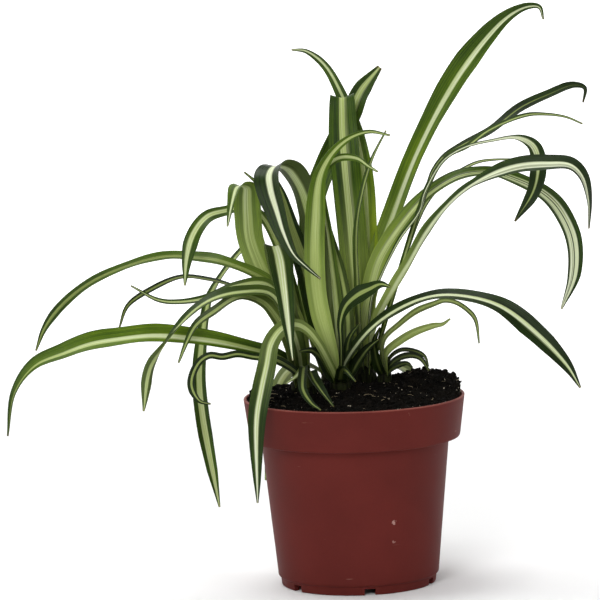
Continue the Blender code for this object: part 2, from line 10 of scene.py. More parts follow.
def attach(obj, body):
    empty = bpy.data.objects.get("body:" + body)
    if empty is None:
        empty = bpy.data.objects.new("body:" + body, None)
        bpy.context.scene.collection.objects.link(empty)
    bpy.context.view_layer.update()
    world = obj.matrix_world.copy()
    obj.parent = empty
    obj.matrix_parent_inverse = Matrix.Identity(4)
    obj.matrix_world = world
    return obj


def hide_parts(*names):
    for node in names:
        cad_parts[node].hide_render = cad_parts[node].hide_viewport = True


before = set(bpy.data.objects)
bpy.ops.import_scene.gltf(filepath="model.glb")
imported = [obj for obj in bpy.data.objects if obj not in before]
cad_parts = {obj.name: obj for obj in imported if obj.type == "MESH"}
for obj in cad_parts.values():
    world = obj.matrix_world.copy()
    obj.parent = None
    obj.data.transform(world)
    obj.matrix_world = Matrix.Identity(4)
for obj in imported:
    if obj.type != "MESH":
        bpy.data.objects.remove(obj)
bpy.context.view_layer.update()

# A spider plant in a nursery pot. Tables are in millimetres and turn into metres through mm.
mm = 0.001
fullTurn = 2 * math.pi
bench = {}  # the node tree that the helpers are working on


def link(value, socket):
    bench["tree"].links.new(value, socket)


def addNode(kind, inputs=None, **settings):
    node = bench["tree"].nodes.new(kind)
    for key, value in settings.items():
        setattr(node, key, value)
    for key, value in (inputs or {}).items():
        if isinstance(value, bpy.types.NodeSocket):
            link(value, node.inputs[key])
        else:
            node.inputs[key].default_value = value
    return node


def made(kind, inputs=None, **settings):  # a new node's first output
    return addNode(kind, inputs, **settings).outputs[0]


def geo(kind, inputs=None, **settings):  # the same for a geometry node
    return made("GeometryNode" + kind, inputs, **settings)


def calc(operation, *values, clamp=False):
    return made("ShaderNodeMath", dict(enumerate(values)), operation=operation, use_clamp=clamp)


def times(a, b):
    return calc("MULTIPLY", a, b)


def plus(a, b):
    return calc("ADD", a, b)


def minus(a, b):
    return calc("SUBTRACT", a, b)


def vecCalc(operation, *values, output=0):
    return addNode("ShaderNodeVectorMath", dict(enumerate(values)), operation=operation).outputs[output]


def scaled(vector, factor):
    return made("ShaderNodeVectorMath", {"Vector": vector, "Scale": factor}, operation="SCALE")


def joined(**axes):  # a vector from its X, Y and Z
    return made("ShaderNodeCombineXYZ", axes)


def axisOf(vector, axis):
    return addNode("ShaderNodeSeparateXYZ", {"Vector": vector}).outputs[axis]


def noise(where, scale, detail=2.0, output=0):
    return addNode("ShaderNodeTexNoise",
                   {"Vector": where, "Scale": scale, "Detail": detail}).outputs[output]


def ramp(value, low, high, toLow=0.0, toHigh=1.0):  # smooth step from low to high
    return made("ShaderNodeMapRange", {"Value": value, "From Min": low, "From Max": high,
                "To Min": toLow, "To Max": toHigh}, interpolation_type="SMOOTHSTEP")


def mixColour(factor, a, b):
    return addNode("ShaderNodeMix", {0: factor, 6: a, 7: b}, data_type="RGBA").outputs[2]


def named(name, kind="FLOAT"):  # an attribute in a geometry tree
    return geo("InputNamedAttribute", {"Name": name}, data_type=kind)


def chance(seed, low, high):  # a random number or vector on every point
    kind, first = ("FLOAT_VECTOR", 0) if isinstance(low, tuple) else ("FLOAT", 2)
    return addNode("FunctionNodeRandomValue", {first: low, first + 1: high, "Seed": seed},
                   data_type=kind).outputs[first // 2]


def geometryTree(name, sizes):
    # sizes holds each named input's starting value, and whole numbers make whole number inputs
    tree = bench["tree"] = bpy.data.node_groups.new(name, "GeometryNodeTree")
    tree.interface.new_socket("Geometry", in_out="INPUT", socket_type="NodeSocketGeometry")
    for label, value in sizes.items():
        kind = "NodeSocketInt" if isinstance(value, int) else "NodeSocketFloat"
        tree.interface.new_socket(label, in_out="INPUT", socket_type=kind).default_value = value
    tree.interface.new_socket("Material", in_out="INPUT", socket_type="NodeSocketMaterial")
    tree.interface.new_socket("Geometry", in_out="OUTPUT", socket_type="NodeSocketGeometry")
    return addNode("NodeGroupInput").outputs


def finishTree(given, geometry):  # every tree ends the same way
    real = geo("RealizeInstances", {"Geometry": geometry})
    painted = geo("SetMaterial", {"Geometry": real, "Material": given["Material"]})
    addNode("NodeGroupOutput", {0: painted})
    return bench["tree"]


def grow(obj, tree, values):
    # runs the tree on the object and leaves its result as a plain mesh
    modifier = obj.modifiers.new(tree.name, "NODES")
    modifier.node_group = tree
    for item in tree.interface.items_tree:
        if item.in_out == "INPUT" and item.name in values:
            modifier[item.identifier] = values[item.name]
    graph = bpy.context.evaluated_depsgraph_get()
    result = bpy.data.meshes.new_from_object(obj.evaluated_get(graph))
    obj.modifiers.clear()
    obj.data = result


def newObject(name, data):
    obj = bpy.data.objects.new(name, data)
    bpy.context.scene.collection.objects.link(obj)
    return obj


def meshObject(name, verts, faces=(), edges=()):
    mesh = bpy.data.meshes.new(name)
    mesh.from_pydata([tuple(v) for v in verts], edges, faces)
    mesh.update()
    return newObject(name, mesh)


def ringPoints(sides, radius, z, x=0.0, y=0.0, unit=mm):  # one level ring
    turns = [fullTurn * s / sides for s in range(sides)]
    return [((x + radius * math.cos(a)) * unit, (y + radius * math.sin(a)) * unit, z * unit)
            for a in turns]


def ringFaces(sides, rings, closed=False):
    # a fan round the first point, bands between the rings, and a fan round the last point if closed
    faces = [(0, 1 + s, 1 + (s + 1) % sides) for s in range(sides)]
    last = 1 + (rings - 1) * sides
    for a in range(1, last, sides):
        faces += [(a + s, a + sides + s, a + sides + (s + 1) % sides, a + (s + 1) % sides)
                  for s in range(sides)]
    if closed:
        faces += [(last + (s + 1) % sides, last + s, last + sides) for s in range(sides)]
    return faces


def faceOutwards(obj):
    bm = bmesh.new()
    bm.from_mesh(obj.data)
    bmesh.ops.recalc_face_normals(bm, faces=bm.faces)
    bm.to_mesh(obj.data)
    bm.free()


def rgb(red, green, blue):  # screen values 0 to 255 as a linear colour
    return tuple((c / 255 / 12.92) if c < 11 else ((c / 255 + 0.055) / 1.055) ** 2.4
                 for c in (red, green, blue)) + (1.0,)


def shaded(colour, factor):
    return tuple(c * factor for c in colour[:3]) + (1.0,)


def newMaterial(name, roughness, gloss):
    material = bpy.data.materials.new(name)
    material.use_nodes = True
    bench["tree"] = material.node_tree
    shader = material.node_tree.nodes["Principled BSDF"].inputs
    shader["Roughness"].default_value, shader["Specular IOR Level"].default_value = roughness, gloss
    return material, shader, addNode("ShaderNodeTexCoord").outputs["Object"]


def addRelief(shader, height, strength, depth):
    link(made("ShaderNodeBump", {"Height": height, "Strength": strength, "Distance": depth}),
         shader["Normal"])


def shaderGroup(name, inputs, outputs):
    group = bench["tree"] = bpy.data.node_groups.new(name, "ShaderNodeTree")
    for side, labels in (("INPUT", inputs), ("OUTPUT", outputs)):
        for label in labels:
            kind = "NodeSocketVector" if label == "Vector" else "NodeSocketFloat"
            group.interface.new_socket(label, in_out=side, socket_type=kind)
    return addNode("NodeGroupInput").outputs


def finishGroup(results):
    addNode("NodeGroupOutput", results)
    return bench["tree"]


def makeMottleGroup():
    # soft uneven patches and fine grain, shared by leaves, pot and soil
    given = shaderGroup("mottle", ("Vector", "Patch Scale", "Grain Scale", "Grain Share"),
                        ("Mask", "Grain"))
    patches = noise(given["Vector"], given["Patch Scale"], 3.0)
    grain = noise(given["Vector"], given["Grain Scale"])
    share = times(minus(grain, patches), given["Grain Share"])
    return finishGroup({"Mask": calc("ADD", patches, share, clamp=True), "Grain": grain})


mottleGroup = makeMottleGroup()


def mottle(where, patchScale, grainScale, grainShare):
    node = addNode("ShaderNodeGroup", {"Vector": where, "Patch Scale": patchScale,
                   "Grain Scale": grainScale, "Grain Share": grainShare}, node_tree=mottleGroup)
    return node.outputs["Mask"], node.outputs["Grain"]


print("helpers ready")


potLook = {
    "rimRadius": 60.0, "height": 102.5, "collarHeight": 22.8, "collarBottomRadius": 57.2,
    "bodyTopRadius": 50.9, "bodyBottomRadius": 43.9, "bodyBottomZ": 8.0, "footRadius": 42.0,
    "wall": 1.5, "floorUndersideZ": 2.5, "floorTopZ": 4.2, "centreFootRadius": 14.0,
    "sides": 144, "notches": 6, "notchWidth": 6.0, "notchHeight": 3.6, "notchDepth": 10.0,
    "firstNotch": -82.0, "drainRadius": 2.2, "drainCircle": 36.6, "drainDepth": 16.0,
    "colour": rgb(86, 33, 29), "roughness": 0.5, "gloss": 0.05, "sharpOver": 32.0,
    "mottle": (26.0, 900.0, 0.2),  # scale of the patches, scale of the grain, share of the grain
    # the rim's colour near its top edge is a painted highlight
    "scuffColour": rgb(158, 122, 114), "rimHighlightColour": rgb(150, 88, 78), "rimHighlightHeight": 0.9,
    # each dried mark: x, y, z, size and strength
    "spots": ((19.5, -42.9, 39.6, 1.1, 0.9), (19.2, -41.8, 28.8, 0.8, 0.6),
              (29.5, -51.9, 99.5, 0.7, 0.6)),
}


def potOutline():
    # the wall's section, from the middle of the underside round to the middle of the floor
    p = potLook
    top, wall, foot, bodyZ = p["height"], p["wall"], p["footRadius"], p["bodyBottomZ"]
    bodyTop, bodyBottom = p["bodyTopRadius"], p["bodyBottomRadius"]
    collar, rim, ledge = p["collarBottomRadius"], p["rimRadius"], top - p["collarHeight"]
    under, floorTop, middle = p["floorUndersideZ"], p["floorTopZ"], p["centreFootRadius"]
    corners = (  # radius and height of each corner, then steps from it to the points round it
        (0, 0, (0, 0)), (middle, 0, (0, 0), (1.5, under)),
        (foot, 0, (-3.5, under), (-2.8, 0), (-0.7, 0), (-0.2, 0.25), (0, 0.8), (0.4, 4.2), (0.6, 4.7)),
        (bodyBottom, 0, (-0.8, 5.0), (-0.35, 5.4), (-0.1, 6.2), (0, bodyZ)),
        (bodyTop, ledge, (0, -1.2), (0.25, -0.5), (0.8, -0.1), (2, 0)),
        (collar, ledge, (-1.2, 0.1), (-0.45, 0.35), (-0.1, 0.9), (0.05, 1.8)),
        (rim, top, (-0.14, -1.4), (-0.02, -0.8), (-0.05, -0.35), (-0.2, -0.1), (-0.45, 0)),
        (rim - wall, top, (0.25, 0), (0, -0.15), (-0.2, -0.6)),
        (collar - wall, ledge, (0, 2.4), (-0.8, 1.8)), (bodyTop - wall, ledge, (0, 1.2)),
        (bodyBottom - wall, 0, (0, bodyZ), (-0.8, floorTop)),
        (middle, 0, (-0.4, floorTop), (-1.8, wall)), (0, 0, (0, wall)))
    return [(r + out, z + up) for r, z, *steps in corners for out, up in steps]


def makeNotchTree(sizes):
    # cuts evenly spaced foot notches, each with a drain hole beside it
    given = geometryTree("footNotches", sizes)
    size = joined(X=given["Notch Depth"], Y=given["Notch Width"], Z=times(given["Notch Height"], 2.0))
    cube = geo("MeshCube", {"Size": size})
    drain = geo("MeshCylinder", {
        "Vertices": 20, "Radius": given["Drain Radius"], "Depth": given["Drain Depth"]})
    both = addNode("GeometryNodeMeshBoolean", operation="UNION", solver="EXACT")
    for shape, reach in ((cube, "Foot Radius"), (drain, "Drain Circle")):
        link(geo("Transform", {
            "Geometry": shape, "Translation": joined(X=given[reach])}), both.inputs[1])
    points = geo("MeshLine", {"Count": given["Count"], "Offset": (0.0, 0.0, 0.0)})
    step = calc("DIVIDE", fullTurn, given["Count"])
    angle = calc("MULTIPLY_ADD", geo("InputIndex"), step, given["First Angle"])
    placed = geo("InstanceOnPoints", {"Points": points, "Instance": both.outputs[0]})
    spun = geo("RotateInstances", {"Instances": placed, "Rotation": joined(Z=angle)})
    cutters = geo("RealizeInstances", {"Geometry": spun})
    cut = geo("MeshBoolean", {0: given["Geometry"], 1: cutters},
              operation="DIFFERENCE", solver="EXACT")
    return finishTree(given, cut)


def makePotMaterial():
    p = potLook
    material, shader, place = newMaterial("potPlastic", p["roughness"], p["gloss"])
    patches, grain = mottle(place, *p["mottle"])
    colour = mixColour(ramp(patches, 0.3, 0.75), shaded(p["colour"], 0.9), shaded(p["colour"], 1.09))
    uneven = noise(place, 600.0, output="Color")
    wobble = scaled(vecCalc("SUBTRACT", uneven, (0.5, 0.5, 0.5)), 0.004)
    marks = noise(vecCalc("MULTIPLY", place, (60.0, 60.0, 420.0)), 1.0)
    scuffs = times(ramp(marks, 0.74, 0.80), 0.35)
    for x, y, z, size, strength in p["spots"]:
        offset = vecCalc("SUBTRACT", place, (x * mm, y * mm, z * mm))
        away = vecCalc("LENGTH", vecCalc("ADD", offset, wobble), output="Value")
        spot = times(ramp(away, size * 0.5 * mm, size * mm, 1.0, 0.0), strength)
        scuffs = calc("MAXIMUM", scuffs, spot)
    # painted highlight: the rim's top edge is made paler in patches, standing in for light caught along it
    rimHighlight = ramp(axisOf(place, "Z"), (p["height"] - p["rimHighlightHeight"]) * mm, (p["height"] - 0.25) * mm)
    rimHighlight = times(rimHighlight, ramp(patches, 0.3, 0.6, 0.25, 0.6))
    colour = mixColour(rimHighlight, colour, p["rimHighlightColour"])
    colour = mixColour(scuffs, colour, p["scuffColour"])
    link(colour, shader["Base Color"])
    link(ramp(patches, 0.2, 0.8, p["roughness"] - 0.04, p["roughness"] + 0.08), shader["Roughness"])
    addRelief(shader, grain, 0.05, 0.0002)
    return material


def buildPot():
    p = potLook
    bm = bmesh.new()
    verts = [bm.verts.new((r * mm, 0.0, z * mm)) for r, z in potOutline()]
    edges = [bm.edges.new(pair) for pair in zip(verts, verts[1:])]
    bmesh.ops.spin(bm, geom=verts + edges, cent=(0, 0, 0), axis=(0, 0, 1), angle=fullTurn,
                   steps=p["sides"], use_merge=True)
    bmesh.ops.remove_doubles(bm, verts=bm.verts, dist=1e-6)
    bmesh.ops.recalc_face_normals(bm, faces=bm.faces)
    pot = meshObject("plasticPot", [])
    bm.to_mesh(pot.data)
    bm.free()
    sizes = {"Count": p["notches"], "First Angle": math.radians(p["firstNotch"]),
             "Foot Radius": p["footRadius"] * mm, "Notch Width": p["notchWidth"] * mm,
             "Notch Height": p["notchHeight"] * mm, "Notch Depth": p["notchDepth"] * mm,
             "Drain Radius": p["drainRadius"] * mm, "Drain Circle": p["drainCircle"] * mm,
             "Drain Depth": p["drainDepth"] * mm}
    grow(pot, makeNotchTree(sizes), dict(sizes, Material=makePotMaterial()))
    pot.data.shade_smooth()
    pot.data.set_sharp_from_angle(angle=math.radians(p["sharpOver"]))
    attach(pot, "root")
    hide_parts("pot")


buildPot()
print("pot made")


soilLook = {
    "edgeZ": 101.6, "dome": 6.0, "heapHeight": 9.0, "heapCentre": (45.0, 13.0), "heapSpread": 24.0,
    "lumpHeight": 0.9, "radius": 57.9, "rings": 44, "spokes": 150, "wallGap": 0.35, "rimGap": 0.4,
    # radius and height down the side of the filling, a little inside the pot's wall
    "side": ((56.0, 95.0), (54.4, 84.0), (48.9, 81.5), (41.9, 9.0), (41.0, 4.6)),
    # what is strewn: how many per square metre, size, roundness, and the step from the first seed
    "lumps": {"soilCrumbs": (340000.0, 1.15, 1, 0), "soilClods": (26000.0, 2.5, 2, 1),
              "soilClump": (110000.0, 2.5, 2, 4), "soilSpecks": (17000.0, 0.6, 1, 2)},
    "fibresPerArea": 9000.0, "fibreLength": 7.0, "fibreRadius": 0.11, "seed": 11,
    "roughness": 0.95, "gloss": 0.06, "patchScale": 160.0, "grainShare": 0.55,
    "clump": {"from": 158.0, "to": 190.0, "near": 53.0, "far": 57.2, "low": 102.2, "rise": 2.6},
    "dark": rgb(5, 5, 4), "light": rgb(22, 18, 14), "grit": rgb(186, 176, 156),
    "fibre": rgb(188, 172, 140),
}


def soilHeight(x, y):
    p = soilLook
    r = math.hypot(x, y) / (potLook["rimRadius"] - potLook["wall"])
    away = math.hypot(x - p["heapCentre"][0], y - p["heapCentre"][1]) / p["heapSpread"]
    lumps = math.sin(0.41 * x + 1.3) * math.cos(0.37 * y - 0.6) + 0.5 * math.sin(0.83 * x - 0.71 * y)
    return (p["edgeZ"] + p["dome"] * (1 - r * r) + p["heapHeight"] * math.exp(-away * away)
            + p["lumpHeight"] * lumps * (1 - r ** 4))


def unevenness(x, y):  # small hollows and rises of the soil's top
    return (0.45 * math.sin(1.9 * x + 0.7 * y) * math.sin(1.3 * y - 0.8 * x + 2)
            + 0.3 * math.sin(3.1 * x - 1.7) * math.sin(2.7 * y + 0.4))


def makeSoilMaterial(name, dark, light, grainScale):
    p = soilLook
    material, shader, place = newMaterial(name, p["roughness"], p["gloss"])
    patches, grain = mottle(place, p["patchScale"], grainScale, p["grainShare"])
    link(mixColour(ramp(patches, 0.35, 0.72), dark, light), shader["Base Color"])
    addRelief(shader, grain, 0.6, 0.0005)
    return material


def strewPoints(given):
    return geo("DistributePointsOnFaces", {
        "Mesh": given["Geometry"], "Density": given["Density"], "Seed": given["Seed"]})


def makeLumpTree():
    # broken lumps of one kind, strewn over a surface
    given = geometryTree("strewnLumps", {"Density": 100000.0, "Size": 0.001, "Detail": 1, "Seed": 1})
    lump = geo("MeshIcoSphere", {"Radius": 1.0, "Subdivisions": given["Detail"]})
    sizes = chance(plus(given["Seed"], 5.0), (0.35, 0.3, 0.3), (1.15, 0.95, 0.8))
    placed = geo("InstanceOnPoints", {
        "Points": strewPoints(given), "Instance": lump,
        "Rotation": chance(given["Seed"], (0, 0, 0), (6.28, 6.28, 6.28)),
        "Scale": scaled(sizes, given["Size"])})
    real = geo("RealizeInstances", {"Geometry": placed})
    where = geo("InputPosition")
    push = vecCalc("SUBTRACT", noise(where, 900.0, 1.0, "Color"), (0.5, 0.5, 0.5))
    broken = geo("SetPosition", {"Geometry": real, "Offset": scaled(push, times(given["Size"], 1.3))})
    return finishTree(given, broken)


def makeFibreTree():
    # thin bent strands, lying on a surface
    given = geometryTree("strewnFibres", {"Density": 9000.0, "Length": 0.007, "Radius": 0.00011, "Seed": 1})
    half = times(given["Length"], 0.5)
    start, end = (joined(X=times(half, side)) for side in (-1.0, 1.0))
    bow = joined(Y=times(half, 0.45), Z=times(half, 0.4))
    strand = geo("CurveQuadraticBezier", {"Resolution": 6, "Start": start, "Middle": bow, "End": end})
    section = geo("CurvePrimitiveCircle", {"Resolution": 4, "Radius": given["Radius"]})
    tube = geo("CurveToMesh", {"Curve": strand, "Profile Curve": section, "Fill Caps": True})
    placed = geo("InstanceOnPoints", {
        "Points": strewPoints(given), "Instance": tube,
        "Rotation": chance(given["Seed"], (-0.35, -0.35, 0), (0.35, 0.35, 6.28)),
        "Scale": chance(plus(given["Seed"], 3.0), 0.4, 1.1)})
    return finishTree(given, placed)


def clumpPatch():  # the heaped strip of loose soil at the left end of the rim
    c = soilLook["clump"]
    verts, steps = [], 8
    for s in range(steps + 1):
        a = math.radians(c["from"] + (c["to"] - c["from"]) * s / steps)
        z = c["low"] + c["rise"] * math.sin(math.pi * s / steps)
        verts += [(r * math.cos(a) * mm, r * math.sin(a) * mm, z * mm) for r in (c["near"], c["far"])]
    return verts, [(2 * s, 2 * s + 1, 2 * s + 3, 2 * s + 2) for s in range(steps)]


def keepInside(obj):
    # nothing strewn reaches through the pot's wall or over its rim
    limit = (potLook["rimRadius"] - potLook["wall"] - soilLook["wallGap"]) * mm
    rimTop = (potLook["height"] + soilLook["rimGap"]) * mm
    for vert in obj.data.vertices:
        r = math.hypot(vert.co.x, vert.co.y)
        if r > limit and vert.co.z < rimTop:
            vert.co.x *= limit / r
            vert.co.y *= limit / r


def soilTop():
    p = soilLook
    verts = [(0, 0, (soilHeight(0, 0) + unevenness(0, 0)) * mm)]
    for k in range(1, p["rings"] + 1):
        radius = p["radius"] * math.sqrt(k / p["rings"])
        fade = min(1.0, (p["radius"] - radius) / 2.0)
        for s in range(p["spokes"]):
            a = fullTurn * s / p["spokes"]
            x, y = radius * math.cos(a), radius * math.sin(a)
            verts.append((x * mm, y * mm, (soilHeight(x, y) + unevenness(x, y) * fade) * mm))
    return verts, ringFaces(p["spokes"], p["rings"])


def strew(name, tree, values, material, surface):
    obj = meshObject(name, *surface)
    grow(obj, tree, dict(values, Material=material))
    keepInside(obj)
    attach(obj, "root")


def buildSoil():
    p = soilLook
    top = soilTop()
    verts = list(top[0])
    for radius, z in p["side"]:
        verts += ringPoints(p["spokes"], radius, z)
    verts.append((0, 0, p["side"][-1][1] * mm))
    bed = meshObject("soilBed", verts, ringFaces(p["spokes"], p["rings"] + len(p["side"]), closed=True))
    faceOutwards(bed)
    bed.data.shade_smooth()
    earth = makeSoilMaterial("dampEarth", p["dark"], p["light"], 2200.0)
    grit = makeSoilMaterial("paleGrit", shaded(p["grit"], 0.55), p["grit"], 3000.0)
    bed.data.materials.append(earth)
    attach(bed, "root")
    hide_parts("soil")
    lumpTree = makeLumpTree()
    for name, (density, size, detail, step) in p["lumps"].items():
        values = {"Density": density, "Size": size * mm, "Detail": detail, "Seed": p["seed"] + step}
        strew(name, lumpTree, values, grit if name == "soilSpecks" else earth,
              clumpPatch() if name == "soilClump" else top)
    values = {"Density": p["fibresPerArea"], "Seed": p["seed"] + 3, "Length": p["fibreLength"] * mm,
              "Radius": p["fibreRadius"] * mm}
    strew("soilFibres", makeFibreTree(), values,
          makeSoilMaterial("rootFibre", shaded(p["fibre"], 0.4), p["fibre"], 2500.0), top)


buildSoil()
print("soil made")


leafLook = {
    "thickness": 0.5, "edgeThickness": 0.3, "channel": 0.16, "ringPoints": 20, "spacing": 8,
    "wave": 0.03, "waveLength": 34.0, "rootHeight": 3.0, "roughness": 0.35, "gloss": 0.15,
    "sharpOver": 50.0, "mottle": (45.0, 700.0, 0.2),
    "greens": ((0.0, rgb(12, 24, 3)), (0.3, rgb(32, 52, 5)), (0.55, rgb(62, 86, 9)),
               (0.75, rgb(88, 112, 13)), (1.0, rgb(134, 154, 14))),
    "creams": ((0.0, rgb(98, 110, 52)), (0.5, rgb(158, 173, 100)), (1.0, rgb(213, 219, 191))),
    "underside": rgb(120, 134, 76), "base": rgb(172, 188, 106), "tip": rgb(120, 92, 52),
    # the shaded colour is painted shade, laid on the leaves near their roots
    "shaded": rgb(14, 22, 5), "splitGreen": rgb(30, 46, 18),
    # the stock in the middle of a shoot: share of the crown's radius, and height from the soil
    "stockOutline": ((0, -21.7), (0.8, -21.7), (1, -19.7), (1, 1), (0.97, 2.8), (0.88, 4.6),
                     (0.7, 6.6), (0.45, 8.2), (0.2, 8.9), (0, 9)),
    "stockSides": 40, "stockDark": rgb(9, 9, 5), "stockLight": rgb(30, 34, 15),
}


def skin(tone, pale, stripe, shift=0.0, rootPale=0.0, split=0.0):
    # tone (0 dark, 1 fresh), paleness of the stripe and its half width, each one value or several from
    # root to tip; then its shift to one side, how pale the root is, and how much dark lines break it
    values = {"tone": tone, "pale": pale, "stripe": stripe, "shift": shift, "rootPale": rootPale}
    return {key: v if isinstance(v, tuple) else (v,) for key, v in values.items()}, split


# a leaf has its skin, its widths from root to tip, its route, and the turn of its blade in degrees
def leaf(look, widths, route, turn=(0,)):  # its upper face keeps looking to the front
    return look, (widths, -90, route, turn, False)


def curled(look, widths, facing, route, turn=(0,)):  # its upper face is carried round with the curl
    return look, (widths, facing, route, turn, True)


leavesCentre = {
    "broadFront": leaf(skin((0.75, 0.6, 0.5), (0.4, 0.55), (0.5, 0.4, 0.34), 0.15, 0.55),
        (5, 8, 11, 12, 12, 12, 9, 5, 3, 1), ((-12, -9, 128), (-18, -11, 151), (-20, -13, 173),
        (-19, -15, 200), (-15, -17, 226), (-3, -20, 242), (11, -23, 248), (23, -26, 246)),
        (25, 25, 25, 20, 10)),
    "hook": curled(skin(0.15, (0.1, 0.3, 0.9, 1), (0.36, 0.28, 0.18), 0, 0.1, 0.5),
        (6, 8, 11, 13, 14.5, 15.5, 16, 16.5, 16.5, 14.5, 9.5, 4, 1), 54, ((-15, -4, 139), (-19, -2, 183),
        (-24, -3, 211), (-28, -6, 221), (-33, -11, 228), (-39, -17, 230), (-42, -23, 226),
        (-41.5, -27, 219), (-38.5, -31, 208), (-35, -35, 196), (-30, -38, 185), (-23, -41, 178),
        (-16, -43, 172))),
    "hookBehind": leaf(skin(0.25, 0.3, 0.4), (6, 10, 12, 11, 7, 3), ((-17, 2, 138), (-24, 6, 171),
        (-31, 8, 194), (-36, 9, 212), (-40, 9, 221))),
    "foldedShort": leaf(skin((0.4, 0.5), 0.55, 0.4, 0, 0.1, 0.2), (5, 7, 7.5, 7.5, 7, 6, 4.5, 4, 1),
        ((-8, 0, 144), (-12, -2, 188), (-15, -5, 215), (-13, -8, 226), (-5, -11, 233), (5, -15, 233),
        (11, -18, 229), (16, -20, 226))),
    "uprightNarrow": leaf(skin(0.25, 0.3, 0.3, 0, 0.1), (5, 6, 6.5, 6, 4, 1), ((-2, 0, 138), (-3, 1, 155),
        (-6, 2, 172), (-10, 3, 188), (-15, 4, 209))),
    "overTheRim": leaf(skin((0.5, 0.35, 0.22, 0.22), (0.5, 0.7, 0.95), (0.5, 0.24, 0.24), 0.05, 0.3),
        (4.5, 5, 5.5, 6, 7, 8.8, 10, 10.6, 10.3, 8.8, 6.6, 4.2, 1), ((-12, -14, 120), (-18, -19, 133),
        (-24, -25, 142), (-30, -31, 146), (-37, -35, 145), (-43, -39, 138), (-46, -42, 126),
        (-49, -45, 114), (-52, -47, 98), (-53, -48, 53)), (30, 35, 40, 35, 25, 10) + (0,) * 6),
    "lowRightLong": leaf(skin(0.12, 0.8, (0.3, 0.2, 0.24), -0.05),
        (6, 7, 8, 8.5, 8.5, 8.5, 9, 10, 11.2, 11.8, 10.2, 6.5, 1), ((-6, -12, 118), (8, -20, 139),
        (26, -29, 153), (44, -36, 160), (62, -43, 160), (79, -49, 155), (96, -53, 142), (113, -57, 124),
        (120, -58, 112)), (-50, -58, -62, -62, -62, -62, -64, -55, -45, -25, -20, -15, -10)),
    "shortFront": leaf(skin((0, 0.1, 0.2), 0.35, 0.24, -0.1), (2.5, 2.5, 2.5, 3, 4.5, 7.5, 9.5, 6, 1),
        ((-6, -15, 132), (-6, -18, 145), (-3, -22, 154), (3, -26, 160), (10, -30, 164), (16, -34, 167),
        (21, -37, 166)), (-20,)),
    "darkBetween": leaf(skin(0.1, 0, 0.2), (4, 6, 5, 3, 1), ((-3, -11, 118), (-3, -13, 129), (-1, -15, 137),
        (4, -17, 144)), (-20,)),
    "darkLeft": leaf(skin(0.05, 0, 0.2), (5, 7, 6, 4, 1), ((-13, -13, 117), (-17, -15, 125),
        (-22, -17, 130), (-29, -19, 130)), (25,)),
    "darkMiddle": leaf(skin(0.05, 0, 0.25), (5, 7, 6, 3, 1), ((-7, -18, 114), (-6, -25, 120),
        (-4, -33, 121), (1, -40, 116))),
    "darkBehind": leaf(skin(0.05, 0, 0.15), (7, 10, 9, 5, 1), ((-11, -5, 118), (-15, -3, 126),
        (-18, -1, 135), (-19, 1, 145))),
    "lowDark": leaf(skin(0.05, 0.3, 0.2, 0.2), (4, 6, 6, 4, 1), ((-1, -10, 117), (4, -12, 125),
        (9, -14, 131), (14, -16, 135)), (-20,)),
}

